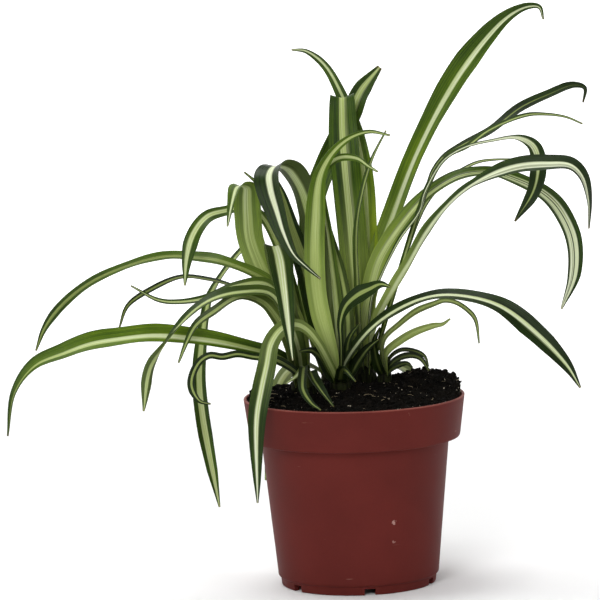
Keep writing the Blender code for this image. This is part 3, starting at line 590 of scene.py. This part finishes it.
leavesLeft = {
    "broadHook": curled(skin((0.9, 0.7, 0.45), (0.5, 0.4, 0.8), (0.45, 0.36, 0.3), -0.05, 0.5, 0.3),
        (9, 10.5, 12, 13, 14, 14.5, 15, 15, 15, 14.5, 10.5, 5.5, 1), 75, ((-29, 2, 128), (-34, 0, 147),
        (-45, -1, 165), (-54, -4, 189), (-55, -7, 203), (-55, -10, 212), (-55, -15, 219), (-59, -20, 220),
        (-62, -26, 213), (-65, -31, 200))),
    "thinTipBehind": leaf(skin(0.3, 0.3, 0.3), (4, 5, 5, 4, 1), ((-32, 8, 155), (-37, 10, 187),
        (-43, 11, 206), (-49, 10, 218), (-56, 8, 225))),
    "highCurl": leaf(skin((0.4, 0.5, 0.35), (0.3, 0.7), 0.34, 0.15, 0.1), (6, 7, 7, 7, 7, 6.5, 7.5, 8.5, 1),
        ((-28, 5, 133), (-32, 6, 160), (-39, 6, 183), (-48, 6, 201), (-57, 4, 206), (-66, -2, 205),
        (-76, -12, 203), (-83, -19, 195), (-87, -22, 183), (-89, -24, 168)),
        (30, 30, 30, 45, 55, 45, 15, 10)),
    "longestLeft": leaf(skin((0.6, 0.5, 0.3), (0.35, 0.1, 0.2), 0.32, 0, 0.2),
        (6, 7, 8, 9, 9, 8, 7, 6, 5.5, 5, 1), ((-29, -4, 134), (-36, -8, 157), (-45, -9, 167),
        (-69, -6, 178), (-84, 0, 180), (-100, 9, 180), (-121, 22, 174), (-144, 34, 163), (-161, 42, 149),
        (-170, 46, 137), (-175, 48, 125)), (40, 50, 55, 60, 60, 62, 62, 55, 35, 10, 0)),
    "thinBackLeft": leaf(skin(0.1, 0.1, 0.3), (4, 5, 5, 4.5, 4, 4, 3.5, 3, 1), ((-34, 8, 138),
        (-49, 14, 154), (-66, 20, 162), (-78, 24, 165), (-93, 29, 166), (-110, 34, 159), (-123, 37, 150),
        (-128, 38, 138)), (60, 70, 74, 74, 72, 70, 40, 20, 0)),
    "tipUp": leaf(skin((0.55, 0.4, 0.25), 0.6, 0.3, 0.1, 0.1), (6, 8, 9, 9, 8, 6, 4.5, 3, 1),
        ((-30, -8, 135), (-38, -12, 156), (-46, -15, 166), (-62, -20, 166), (-77, -25, 161),
        (-92, -31, 160), (-103, -36, 162), (-117, -42, 171)), (30, 45, 55, 58, 58, 55, 55, 50)),
    "turnedOver": leaf(skin((0.4, 0.3), 0.6, 0.34, 0, 0.1, 0.5),
        (6, 7, 8, 8.5, 8.5, 8.5, 8.5, 8, 7, 6, 7.5, 6, 1), ((-30, -12, 133), (-37, -17, 152),
        (-44, -21, 162), (-59, -28, 164), (-73, -35, 162), (-83, -40, 157), (-94, -46, 147),
        (-102, -49, 137), (-108, -51, 127), (-112, -53, 105)),
        (30, 35, 40, 50, 55, 58, 60, 62, 68, 84, 130, 160, 170)),
    "broadLowCurl": leaf(skin((0.4, 0.35, 0.3), 0.5, 0.34, 0, 0.3), (9, 12, 11, 9, 8, 7, 5, 1),
        ((-32, -8, 129), (-41, -14, 148), (-48, -18, 157), (-60, -24, 161), (-74, -31, 154),
        (-83, -36, 148), (-88, -40, 140), (-93, -43, 129)), (30, 35, 45, 58, 60, 55, 40)),
    "longHanging": leaf(skin((0.3, 0.4), (0.2, 0.45, 0.65), 0.4), (5,) + (6,) * 6 + (7, 7.5, 8, 8, 6, 1),
        ((-30, 8, 130), (-40, 14, 157), (-48, 20, 179), (-54, 24, 184), (-60, 27, 179), (-76, 35, 157),
        (-80, 38, 144), (-85, 41, 110), (-84, 41, 88), (-76, 40, 36)),
        (80, 78, 76, 75, 72, 65, 45, 20, 0, 0, 0, 0)),
    "bigLowLeft": leaf(skin((0.3, 0.6, 0.6, 0.3), (0.3, 0.7, 0.55, 0.25), (0.3, 0.32, 0.26, 0.16), -0.25),
        (5, 6.5, 8, 9.5, 11, 11, 11.5, 10.5, 7, 3.5, 1), ((-33, -4, 121), (-43, -8, 128), (-52, -12, 131),
        (-69, -23, 137), (-86, -30, 141), (-105, -37, 144), (-124, -43, 143.5), (-139, -48, 142),
        (-153, -52, 138), (-169, -56, 132), (-180, -60, 118), (-184, -62, 95)), (40,)),
    "foldedFront": curled(skin(0.2, (0.5, 0.9), 0.34, 0, 0.2), (7, 9, 10, 10.5, 11, 13.5, 10, 6.5, 1), 95,
        ((-32, -6, 135), (-36, -8, 162), (-40, -11, 181), (-40, -16, 187), (-38, -23, 182), (-36, -33, 168),
        (-34, -44, 148), (-32, -52, 130))),
    "thinCCurl": leaf(skin(0.1, 0.3, 0.3), (3, 4, 5, 4, 4, 4, 4.5, 4.5, 1), ((-30, -12, 117),
        (-41, -16, 125), (-54, -20, 128), (-62, -23, 130), (-70, -25, 129), (-77, -26, 130),
        (-83, -27, 126), (-87, -27, 115), (-83, -27, 106), (-77, -27, 104)), (30,)),
}

leavesRight = {
    "tallLeaningLeft": leaf(skin((1, 1, 0.5, 0.3), (0.6, 0.5, 0.7), (0.3, 0.2, 0.34), 0.1, 0.2),
        (6, 8, 10, 11.5, 12, 12, 12, 11.2, 9.5, 7, 5.4, 4, 1), ((8, 20, 152), (9, 22, 172), (9, 26, 197),
        (8, 30, 221), (4, 34, 245), (-2, 37, 262), (-11, 40, 279), (-21, 41, 287), (-29, 42, 288))),
    "tallFolded": curled(skin((0.95, 0.7, 0.45, 0.3), (0.6, 0.5, 0.5), (0.4, 0.3, 0.3), 0, 0.5, 0.6),
        (8, 11, 14, 15.5, 16, 16, 16.5, 14, 7), -90, ((5, 14, 136), (3, 16, 163), (1, 19, 196),
        (-1, 22, 223), (-2, 25, 245), (-2, 28, 262), (-2, 33, 258), (-1, 37, 247))),
    "tallLeaningRight": leaf(skin((0.6, 0.35), (0.3, 0.2, 0.6), 0.3, 0, 0.2), (6, 8, 9.5, 11) + (12,) * 6 +
        (11.5, 11, 9.5, 3), ((-12, 15, 153), (-18, 18, 174), (-21, 22, 191), (-19, 27, 207), (-12, 32, 225),
        (-5, 36, 239), (3, 39, 253), (8, 41, 264), (19, 44, 277))),
    "edgeOnThin": leaf(skin(0.35, 0.3, 0.3, 0, 0.1), (5, 6, 6, 5, 4, 1), ((4, 4, 154), (4, 0, 193),
        (7, -3, 211), (13, -6, 231), (21, -10, 247)), (-60,)),
    "tallest": leaf(skin((0.9, 0.65, 0.55, 0.35), (0.6, 0.8), (0.3, 0.2, 0.22), 0.22, 0.5),
        (8, 9, 10, 10.2, 10, 10, 9.8, 10.5, 12.6, 13.2, 10, 5, 1), ((8, 17, 147), (11, 20, 166),
        (23, 27, 198), (38, 35, 233), (61, 46, 272), (82, 55, 296), (93, 60, 304), (102, 63, 307),
        (108, 65, 306), (110, 66, 299))),
    "darkHigh": leaf(skin((0.4, 0.2, 0.1), 0.2, (0.4, 0.2, 0)), (3,) * 7 + (4, 5, 6, 6, 5, 1),
        ((11, 9, 153), (15, 7, 163), (27, 3, 187), (38, 0, 202), (43, -4, 217), (46, -1, 224), (52, 3, 231),
        (62, 10, 236), (78, 17, 243), (95, 28, 254), (111, 38, 260), (125, 46, 264), (131, 48, 262),
        (130, 49, 254)), (-60, -70, -72, -72, -72, -72, -70, -62, -45, -42, -42, -42, -30)),
    "darkBranching": leaf(skin((0.5, 0.3), 0.5, 0.3), (3, 4, 4, 4, 3.5, 3, 1), ((46, 2, 221), (54, 2, 231),
        (65, 5, 236), (77, 8, 244), (97, 14, 251), (108, 17, 251), (119, 19, 249), (128, 20, 245)), (-50,)),
    "droopingEnd": leaf(skin((0.3, 0.3, 0.3, 0.3, 0.1), (0.5, 0.6, 0.7, 0.8, 0.9, 0.9, 1, 0.6, 0.2),
        (0.5, 0.5, 0.5, 0.5, 0.5, 0.55, 0.72, 0.12, 0), 0, 0, 0.5), (3,) * 12 + (3.5, 8, 9, 6.5, 1),
        ((11, 4, 154), (15, 2, 164), (27, -2, 187), (38, -4, 202), (41, -6, 212), (48, -7, 225),
        (53, -9, 231), (64, -10, 237), (78, -10, 240), (91, -9, 241), (99, -8, 237), (102, -7, 231),
        (102, -7, 221), (99, -8, 211), (89, -9, 196)), (-60, -70) + (-74,) * 10 + (-60, -20, 0, 0, 0)),
    "rightArch": leaf(skin((0.65, 0.55, 0.2, 0.15), (0.8, 1), (0.6, 0.54, 0.4, 0.34), 0.22, 0.6, 0.5),
        (6, 7, 8, 8, 8, 8, 7, 6.5, 8.5, 9, 8.5, 6.5, 1), ((11, 4, 137), (23, -4, 161), (32, -9, 176),
        (41, -15, 192), (51, -20, 205), (63, -24, 216), (79, -30, 225), (92, -34, 229), (106, -38, 230),
        (118, -41, 229), (124, -43, 223), (127, -44, 210), (127, -44, 195)), (-57,) * 6 +
        (-65, -67, -30, -25, -40, -56, -60)),
    "rightArchBehind": leaf(skin((0.95, 0.7, 0.4, 0.2), (0.6, 0.6, 1), (0.5, 0.4, 0.6), 0.1, 0.6, 0.85),
        (9, 9.5, 9.5, 9.5, 9.5, 9, 8.5, 8, 8.5, 9.5, 9.5, 7.5, 1), ((5, 12, 136), (10, 11, 157),
        (16, 10, 176), (32, 8, 199), (43, 8, 210), (59, 10, 219), (71, 11, 221), (80, 13, 220),
        (99, 19, 212), (109, 22, 205), (116, 25, 196), (122, 28, 181), (122, 31, 161), (115, 34, 142)),
        (-10, -12, -15, -18, -25, -46, -57, -57, -38, -20, -15, -10, 0)),
    "shortThinRight": leaf(skin(0.3, 0.6, 0.4), (3, 3, 3, 3, 1), ((40, 12, 201), (50, 14, 214),
        (60, 16, 221), (71, 17, 226), (81, 18, 227), (90, 18, 227)), (-50,)),
}

leavesSmallRight = {
    "narrowHook": leaf(skin(0.2, 0.4, 0.3, -0.2, 0.4), (3, 4, 5, 5, 4, 3.5, 1), ((17, -7, 133),
        (26, -10, 142), (35, -13, 149), (44, -16, 153), (50, -18, 155), (56, -20, 154), (62, -21, 150),
        (66, -21, 145), (68, -21, 132)), (-55, -60, -58, -50)),
    "lowWave": leaf(skin(0.35, 0.5, 0.4, 0, 0.6), (4, 5, 5.5, 5, 4, 1), ((18, -2, 125), (26, -4, 132),
        (35, -5, 137), (44, -6, 140), (49, -7, 141), (53, -8, 144)), (-45,)),
    "lowCurlBack": leaf(skin(0.05, 0, 0.3), (3, 3, 3, 2.5, 1), ((20, 8, 121), (26, 10, 125), (34, 12, 124),
        (39, 13, 121), (41, 14, 115)), (-60, -40)),
    "lowCurl": leaf(skin(0.05, 0.1, 0.3), (3, 4, 4, 3, 1), ((21, 2, 119), (29, 2, 123), (36, 1, 122),
        (41, 0, 115)), (-50, -30)),
    "lowest": leaf(skin(0.05, 0, 0.3), (3, 4, 3.5, 1), ((21, -4, 117), (29, -6, 120), (32, -8, 118)),
        (-50, -40)),
    "darkUpright": leaf(skin(0.1, 0, 0.2), (4, 6, 5, 3, 1), ((14, -4, 118), (12, -8, 127), (12, -11, 134),
        (15, -13, 141)), (-20,)),
}

leavesSmallFront = {
    "paleCurl": curled(skin(0.5, 0.8, 0.5, 0, 0.3), (3, 3, 3, 1), 60, ((-26, -22, 122), (-28, -27, 121),
        (-31, -31, 118), (-36, -33, 115))),
    "toTheRim": curled(skin(0.05, 0.1, 0.3), (4, 5, 5, 4, 1), 90, ((-26, -27, 123), (-27, -36, 119),
        (-27, -44, 113), (-23, -51, 107), (-18, -58, 104))),
    "besideIt": curled(skin(0.08, 0.3, 0.2, 0.2), (4, 6, 6, 4, 1), 100, ((-23, -24, 120), (-21, -32, 117),
        (-17, -43, 112), (-11, -54, 105))),
}

leavesBack = {
    "backHigh": curled(skin(0.5, 0.6, 0.36, 0, 0.3), (6, 9, 11, 12, 11, 9, 5, 1), -80, ((3, 42, 149),
        (4, 58, 186), (6, 82, 211), (6, 106, 216), (5, 124, 196), (3, 134, 160), (0, 138, 119))),
    "backRight": curled(skin(0.45, 0.7, 0.34, 0.05, 0.3), (6, 8, 10, 10, 9, 8, 5, 1), -90, ((7, 38, 144),
        (9, 54, 164), (9, 76, 174), (7, 96, 162), (5, 110, 135), (7, 118, 93), (14, 120, 58))),
    "backLeft": curled(skin(0.5, 0.75, 0.36, 0, 0.3), (6, 9, 11, 11, 10, 8, 5, 1), -90, ((-22, 36, 140),
        (-22, 50, 171), (-22, 70, 194), (-22, 90, 198), (-23, 106, 184), (-26, 116, 146), (-29, 120, 106),
        (-35, 120, 60))),
    "backLow": curled(skin(0.35, 0.5, 0.3, 0, 0.3), (6, 9, 10, 9, 8, 5, 1), -90, ((0, 40, 124),
        (0, 54, 141), (-1, 70, 147), (-2, 86, 138), (-3, 98, 114), (-5, 104, 84), (-12, 106, 55))),
    "backUpright": curled(skin(0.5, 0.5, 0.3, 0, 0.2), (5, 7, 8, 6, 1), -90, ((6, 34, 139), (7, 44, 160),
        (9, 52, 176), (10, 58, 187))),
    "backRimRight": curled(skin(0.3, 0.6, 0.3, 0, 0.2), (4, 6, 7, 6, 4, 1), 180, ((5, 40, 112),
        (25, 62, 109), (36, 78, 96), (40, 86, 71), (41, 90, 45))),
    "backRimLeft": curled(skin(0.4, 0.65, 0.34, 0, 0.2), (4, 7, 8, 7, 5, 1), 0, ((-25, 44, 113),
        (-36, 60, 108), (-44, 73, 93), (-48, 82, 70), (-51, 84, 43))),
}

shoots = {  # node: (piece, (crown x, y, radius), leaves)
    "shoot_centre": ("leavesCentre", (-7, -8, 6), leavesCentre),
    "shoot_left": ("leavesLeft", (-27, 0, 7), leavesLeft),
    "shoot_right": ("leavesRight", (6, 12, 7), leavesRight),
    "shoot_small_right": ("leavesSmallRight", (17, 3, 4), leavesSmallRight),
    "shoot_small_front": ("leavesSmallFront", (-24, -17, 4), leavesSmallFront),
    "shoot_back": ("leavesBack", (-12, 31, 6), leavesBack),
}


def evenly(values, t):  # the value at share t of an evenly spaced list
    place = t * (len(values) - 1)
    k = min(int(place), max(len(values) - 2, 0))
    after = values[min(k + 1, len(values) - 1)]
    return values[k] + (after - values[k]) * (place - k)


def smoothRoute(points, steps):
    # a rounded line through the points, without overshooting at close ones
    pts = [Vector(p) for p in points]
    pts = [pts[0] * 2 - pts[1]] + pts + [pts[-1] * 2 - pts[-2]]
    line = []
    for four in zip(pts, pts[1:], pts[2:], pts[3:]):
        knots = [0.0]
        for a, b in zip(four, four[1:]):
            knots.append(knots[-1] + math.sqrt((b - a).length))
        for s in range(steps):
            t = knots[1] + (knots[2] - knots[1]) * s / steps
            mixed = four
            for spans in (((0, 1), (1, 2), (2, 3)), ((0, 2), (1, 3)), ((1, 2),)):
                mixed = [a.lerp(b, (t - knots[i]) / (knots[j] - knots[i]))
                         for a, b, (i, j) in zip(mixed, mixed[1:], spans)]
            line.append(mixed[0])
    line.append(pts[-2])
    return line


def rootOf(crown, route):  # where a leaf starts, inside its crown
    x, y, radius = crown
    out = Vector((route[0][0] - x, route[0][1] - y, 0.0))
    if out.length > 0:
        out *= min(1.0, radius * 0.4 / out.length)
    return (x + out.x, y + out.y, soilHeight(x, y) + leafLook["rootHeight"])


def bladeRings(shape, crown):
    # point, side, face, width, distance and share of the length of every ring of one leaf
    widths, facing, route, turn, carried = shape
    line = smoothRoute([rootOf(crown, route)] + list(route), leafLook["spacing"])
    tangents = [(b - a).normalized() for a, b in zip([line[0]] + line, line[1:] + [line[-1]])]
    gone = [0.0]
    for a, b in zip(line, line[1:]):
        gone.append(gone[-1] + (b - a).length)
    outward = Vector((math.cos(math.radians(facing)), math.sin(math.radians(facing)), 0.0))
    face, before, rings = outward, Vector((0, 0, 1)), []
    for point, tangent, distance in zip(line, tangents, gone):
        face = before.rotation_difference(tangent) @ face if carried else outward
        face = (face - tangent * face.dot(tangent)).normalized()
        before = tangent
        t = distance / gone[-1]
        turned = Quaternion(tangent, math.radians(evenly(turn, t))) @ face
        rings.append((point, tangent.cross(turned), turned, evenly(widths, t), distance, t))
    return rings


bladeSizes = {
    "Ring Points": leafLook["ringPoints"], "Thickness": leafLook["thickness"] * mm,
    "Edge Thickness": leafLook["edgeThickness"] * mm, "Channel": leafLook["channel"],
    "Wave": leafLook["wave"], "Wave Length": leafLook["waveLength"] * mm}


def makeBladeTree():
    # wraps a channelled blade round every midrib, from the values kept on its points
    given = geometryTree("leafBlades", bladeSizes)
    count = given["Ring Points"]
    ring = geo("CurvePrimitiveCircle", {"Resolution": count, "Radius": 0.001})
    # the first half of a ring runs across the upper face, and the second half comes back below
    index = geo("InputIndex")
    half = calc("DIVIDE", count, 2.0)
    under = calc("GREATER_THAN", index, minus(half, 0.5))
    step = calc("DIVIDE", calc("MODULO", index, half), minus(half, 1.0))
    across = times(minus(step, 0.5), minus(1.0, times(under, 2.0)))
    for label, value in (("across", across), ("under", under)):
        ring = geo("StoreNamedAttribute", {"Geometry": ring, "Name": label, "Value": value},
                   data_type="FLOAT", domain="POINT")
    lines = geo("MeshToCurve", {"Mesh": given["Geometry"]})
    blades = geo("CurveToMesh", {"Curve": lines, "Profile Curve": ring, "Fill Caps": True})
    across, under, width = (named(k) for k in ("across", "under", "width"))
    mid, side, face = (named(k, "FLOAT_VECTOR") for k in ("mid", "side", "face"))
    out = times(calc("ABSOLUTE", across), 2.0)
    fold = times(calc("POWER", out, 1.25), given["Channel"])
    phase = calc("MULTIPLY_ADD", calc("DIVIDE", named("fromRoot"), given["Wave Length"]), 6.283,
                 times(named("seed"), 40.0))
    opposite = times(calc("SIGN", across), 1.1)  # the two edges wave out of step
    sway = times(calc("SINE", plus(phase, opposite)), times(calc("POWER", out, 2.0), given["Wave"]))
    lift = times(plus(fold, sway), width)
    thinner = minus(given["Edge Thickness"], given["Thickness"])
    depth = calc("MULTIPLY_ADD", calc("POWER", out, 3.0), thinner, given["Thickness"])
    height = minus(lift, times(under, depth))
    place = vecCalc("ADD", mid, scaled(side, times(across, width)))
    place = vecCalc("ADD", place, scaled(face, height))
    shaped = geo("SetPosition", {"Geometry": blades, "Position": place})
    return finishTree(given, shaped)


def colourRamp(value, stops):
    node = addNode("ShaderNodeValToRGB", {"Fac": value})
    elements = node.color_ramp.elements
    while len(elements) < len(stops):
        elements.new(0.5)
    for element, (place, colour) in zip(elements, stops):
        element.position, element.color = place, colour
    return node.outputs["Color"]


def makeStripeGroup():
    # long lines down a blade: the pale middle stripe, fine lines beside it, dark lines that break
    # it, and the height of the ribs
    given = shaderGroup("bladeLines", ("Across", "From Root", "Seed", "Half Width", "Shift"),
                        ("Stripe", "Lines", "Splits", "Ribs"))
    across = given["Across"]

    def streaks(fineness, stretch, detail):
        where = joined(X=times(across, fineness), Y=times(given["From Root"], stretch),
                       Z=times(given["Seed"], 97.0))
        return noise(where, 1.0, detail)

    broad, fine = streaks(7.0, 9.0, 1.0), streaks(34.0, 14.0, 2.0)
    aside = minus(across, times(given["Shift"], 0.5))
    wander = times(calc("ABSOLUTE", aside), 2.0)
    for lines, share in ((broad, 0.3), (fine, 0.22)):
        wander = calc("MULTIPLY_ADD", minus(lines, 0.5), share, wander)
    return finishGroup({
        "Stripe": ramp(minus(given["Half Width"], wander), -0.09, 0.09), "Lines": ramp(fine, 0.36, 0.64),
        "Splits": ramp(streaks(11.0, 5.0, 0.0), 0.55, 0.62), "Ribs": calc("SINE", times(across, 75.0))})


stripeGroup = makeStripeGroup()


def makeLeafMaterial():
    p = leafLook
    material, shader, place = newMaterial("leafSkin", p["roughness"], p["gloss"])

    def kept(name):  # a value kept on the blades
        return addNode("ShaderNodeAttribute", attribute_name=name).outputs["Fac"]

    gone, rootPale = kept("fromRoot"), kept("rootPale")
    lines = addNode("ShaderNodeGroup", {
        "Across": kept("across"), "From Root": gone, "Seed": kept("seed"),
        "Half Width": kept("stripe"), "Shift": kept("shift")}, node_tree=stripeGroup).outputs
    patches = mottle(place, *p["mottle"])[0]
    tone, pale = kept("tone"), kept("pale")
    tone = plus(tone, times(minus(patches, 0.5), 0.35))
    tone = plus(tone, times(minus(lines["Lines"], 0.5), 0.24))
    pale = plus(pale, times(minus(lines["Lines"], 0.6), 0.34))
    colour = mixColour(times(lines["Stripe"], 0.95), colourRamp(tone, p["greens"]),
                       colourRamp(pale, p["creams"]))
    for share, layer in (
            (times(lines["Splits"], kept("split")), "splitGreen"),
            (times(kept("under"), 0.22), "underside"),
            (times(ramp(gone, 0.02, 0.11, 1.0, 0.0), rootPale), "base"),
            # painted shade: near the root, a leaf without a pale root is darkened towards the shaded colour
            (times(ramp(gone, 0.012, 0.04, 0.7, 0.0), minus(1.0, rootPale)), "shaded"),
            (times(ramp(kept("along"), 0.985, 1.0), 0.3), "tip")):
        colour = mixColour(share, colour, p[layer])
    link(colour, shader["Base Color"])
    link(ramp(patches, 0.2, 0.8, p["roughness"] - 0.06, p["roughness"] + 0.1), shader["Roughness"])
    height = plus(times(lines["Ribs"], 0.5), times(lines["Lines"], 0.8))
    addRelief(shader, height, 0.4, 0.00016)
    return material


def makeStockMaterial():
    p = leafLook
    material, shader, place = newMaterial("leafStock", 0.8, 0.05)
    # the stock's near-black colours are painted shade, standing in for the deep shade round the crown
    streaks = noise(vecCalc("MULTIPLY", place, (900.0, 900.0, 90.0)), 1.0)
    link(mixColour(ramp(streaks, 0.35, 0.65), p["stockDark"], p["stockLight"]), shader["Base Color"])
    return material


def stockMesh(crown):
    # the short stock that the leaves of one shoot grow out of
    x, y, radius = crown
    ground = soilHeight(x, y)
    bottom, *rows, top = leafLook["stockOutline"]
    sides = leafLook["stockSides"]
    verts = [(x * mm, y * mm, (ground + bottom[1]) * mm)]
    for share, z in rows:
        verts += ringPoints(sides, radius * share, ground + z, x, y)
    verts.append((x * mm, y * mm, (ground + top[1]) * mm))
    return verts, ringFaces(sides, len(rows), closed=True)


leafMaterial, stockMaterial, bladeTree = makeLeafMaterial(), makeStockMaterial(), makeBladeTree()


def buildShoot(node, pieceName, crown, leaves):
    points, edges, columns = [], [], {}
    dice = random.Random(node)
    for (tones, split), shape in leaves.values():
        seed = dice.random()
        rings = bladeRings(shape, crown)
        edges += [(len(points) + k, len(points) + k + 1) for k in range(len(rings) - 1)]
        for point, side, face, width, distance, t in rings:
            points.append(point * mm)
            values = {"mid": point * mm, "side": side, "face": face, "width": width * mm,
                      "fromRoot": distance * mm, "along": t, "seed": seed,
                      "split": split * min(1.0, 2.2 * t)}
            values.update((key, evenly(tone, t)) for key, tone in tones.items())
            for key, value in values.items():
                columns.setdefault(key, []).append(value)
    piece = meshObject(pieceName, points, edges=edges)
    for key, values in columns.items():
        vector = key in ("mid", "side", "face")
        attribute = piece.data.attributes.new(key, "FLOAT_VECTOR" if vector else "FLOAT", "POINT")
        attribute.data.foreach_set("vector" if vector else "value",
                                   np.array(values, dtype=np.float32).ravel())
    grow(piece, bladeTree, dict(bladeSizes, Material=leafMaterial))
    for key in ("mid", "side", "face", "width"):
        piece.data.attributes.remove(piece.data.attributes[key])
    stock = meshObject(pieceName + "Stock", *stockMesh(crown))
    stock.data.materials.append(stockMaterial)
    with bpy.context.temp_override(active_object=piece, selected_editable_objects=[piece, stock]):
        bpy.ops.object.join()
    faceOutwards(piece)
    piece.data.shade_smooth()
    piece.data.set_sharp_from_angle(angle=math.radians(leafLook["sharpOver"]))
    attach(piece, "root")
    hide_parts(node)
    print(pieceName, "made with", len(leaves), "leaves")


for node, (pieceName, crown, leaves) in shoots.items():
    buildShoot(node, pieceName, crown, leaves)


# the stage is in metres, and its angles are in degrees
stageLook = {
    "paper": (0.9, 0.9, 0.9, 1.0), "worldStrength": 0.34, "glow": 0.72, "frontGlow": 0.2,
    "glowFrom": 0.3, "glowTo": 1.5, "floorRadius": 5.0, "bendRadius": 0.9, "bendSteps": 10,
    "wallTop": 4.0, "sides": 64, "distance": 2.5, "height": 7.36, "roll": -1.57, "focus": 277.2,
    "aside": -0.636, "above": -0.03, "lookedAt": 0.156, "litHeight": 0.12,
    # each lamp's place, size and power
    "lamps": {"softTop": ((-0.25, 0.15, 1.5), 0.8, 13.0), "softFront": ((-0.5, -1.7, 1.0), 0.9, 17.0),
              "softRight": ((1.4, -0.7, 0.7), 0.6, 1.6)},
}


def buildStage():
    # a round white paper floor that bends up into a wall, lit a little from within away from the pot
    p = stageLook
    flat, bend = p["floorRadius"], p["bendRadius"]
    turns = [math.radians(90 * k / p["bendSteps"]) for k in range(p["bendSteps"] + 1)]
    side = [(flat + bend * math.sin(a), bend - bend * math.cos(a)) for a in turns]
    side.append((flat + bend, p["wallTop"]))
    verts = [(0.0, 0.0, 0.0)]
    for radius, z in side:
        verts += ringPoints(p["sides"], radius, z, unit=1.0)
    sweep = meshObject("paleSweep", verts, ringFaces(p["sides"], len(side)))
    sweep.data.shade_smooth()
    material, shader, place = newMaterial("whitePaper", 0.9, 0.1)
    link(mixColour(noise(place, 400.0), shaded(p["paper"], 0.99), p["paper"]), shader["Base Color"])
    glow = times(ramp(vecCalc("LENGTH", place, output="Value"), p["glowFrom"], p["glowTo"]),
                 ramp(axisOf(place, "Y"), -0.6, 0.6, p["frontGlow"], 1.0))
    link(mixColour(glow, (0, 0, 0, 1), (1, 1, 1, 1)), shader["Emission Color"])
    shader["Emission Strength"].default_value = p["glow"]
    sweep.data.materials.append(material)


def buildLights():
    world = bpy.data.worlds.new("paleSky")
    world.use_nodes = True
    background = world.node_tree.nodes["Background"]
    background.inputs["Color"].default_value = (1, 1, 1, 1)
    background.inputs["Strength"].default_value = stageLook["worldStrength"]
    bpy.context.scene.world = world
    for name, (place, size, power) in stageLook["lamps"].items():
        light = bpy.data.lights.new(name, "AREA")
        light.shape, light.size, light.energy = "DISK", size, power
        obj = newObject(name, light)
        obj.location = place
        aim = Vector((0, 0, stageLook["litHeight"])) - Vector(place)
        obj.rotation_euler = aim.to_track_quat("-Z", "Y").to_euler()


def buildCamera():
    p = stageLook
    height, roll, aside, above = (math.radians(p[k]) for k in ("height", "roll", "aside", "above"))
    back = Vector((0, -math.cos(height), math.sin(height)))
    right = Vector((1, 0, 0))
    up = right.cross(-back)
    rolledRight = right * math.cos(roll) + up * math.sin(roll)
    rolledUp = up * math.cos(roll) - right * math.sin(roll)
    ahead = (-back + rolledRight * math.tan(aside) + rolledUp * math.tan(above)).normalized()
    across = (rolledRight - ahead * rolledRight.dot(ahead)).normalized()
    lens = bpy.data.cameras.new("studioCamera")
    lens.lens, lens.sensor_width, lens.clip_start = p["focus"], 36.0, 0.1
    lens.dof.use_dof = False
    camera = newObject("studioCamera", lens)
    turn = Matrix((across, across.cross(ahead), -ahead)).transposed().to_4x4()
    camera.matrix_world = Matrix.Translation(Vector((0, 0, p["lookedAt"])) + back * p["distance"]) @ turn
    bpy.context.scene.camera = camera


buildStage()
buildLights()
buildCamera()
bpy.context.scene.view_settings.view_transform = "Standard"
print("stage ready")
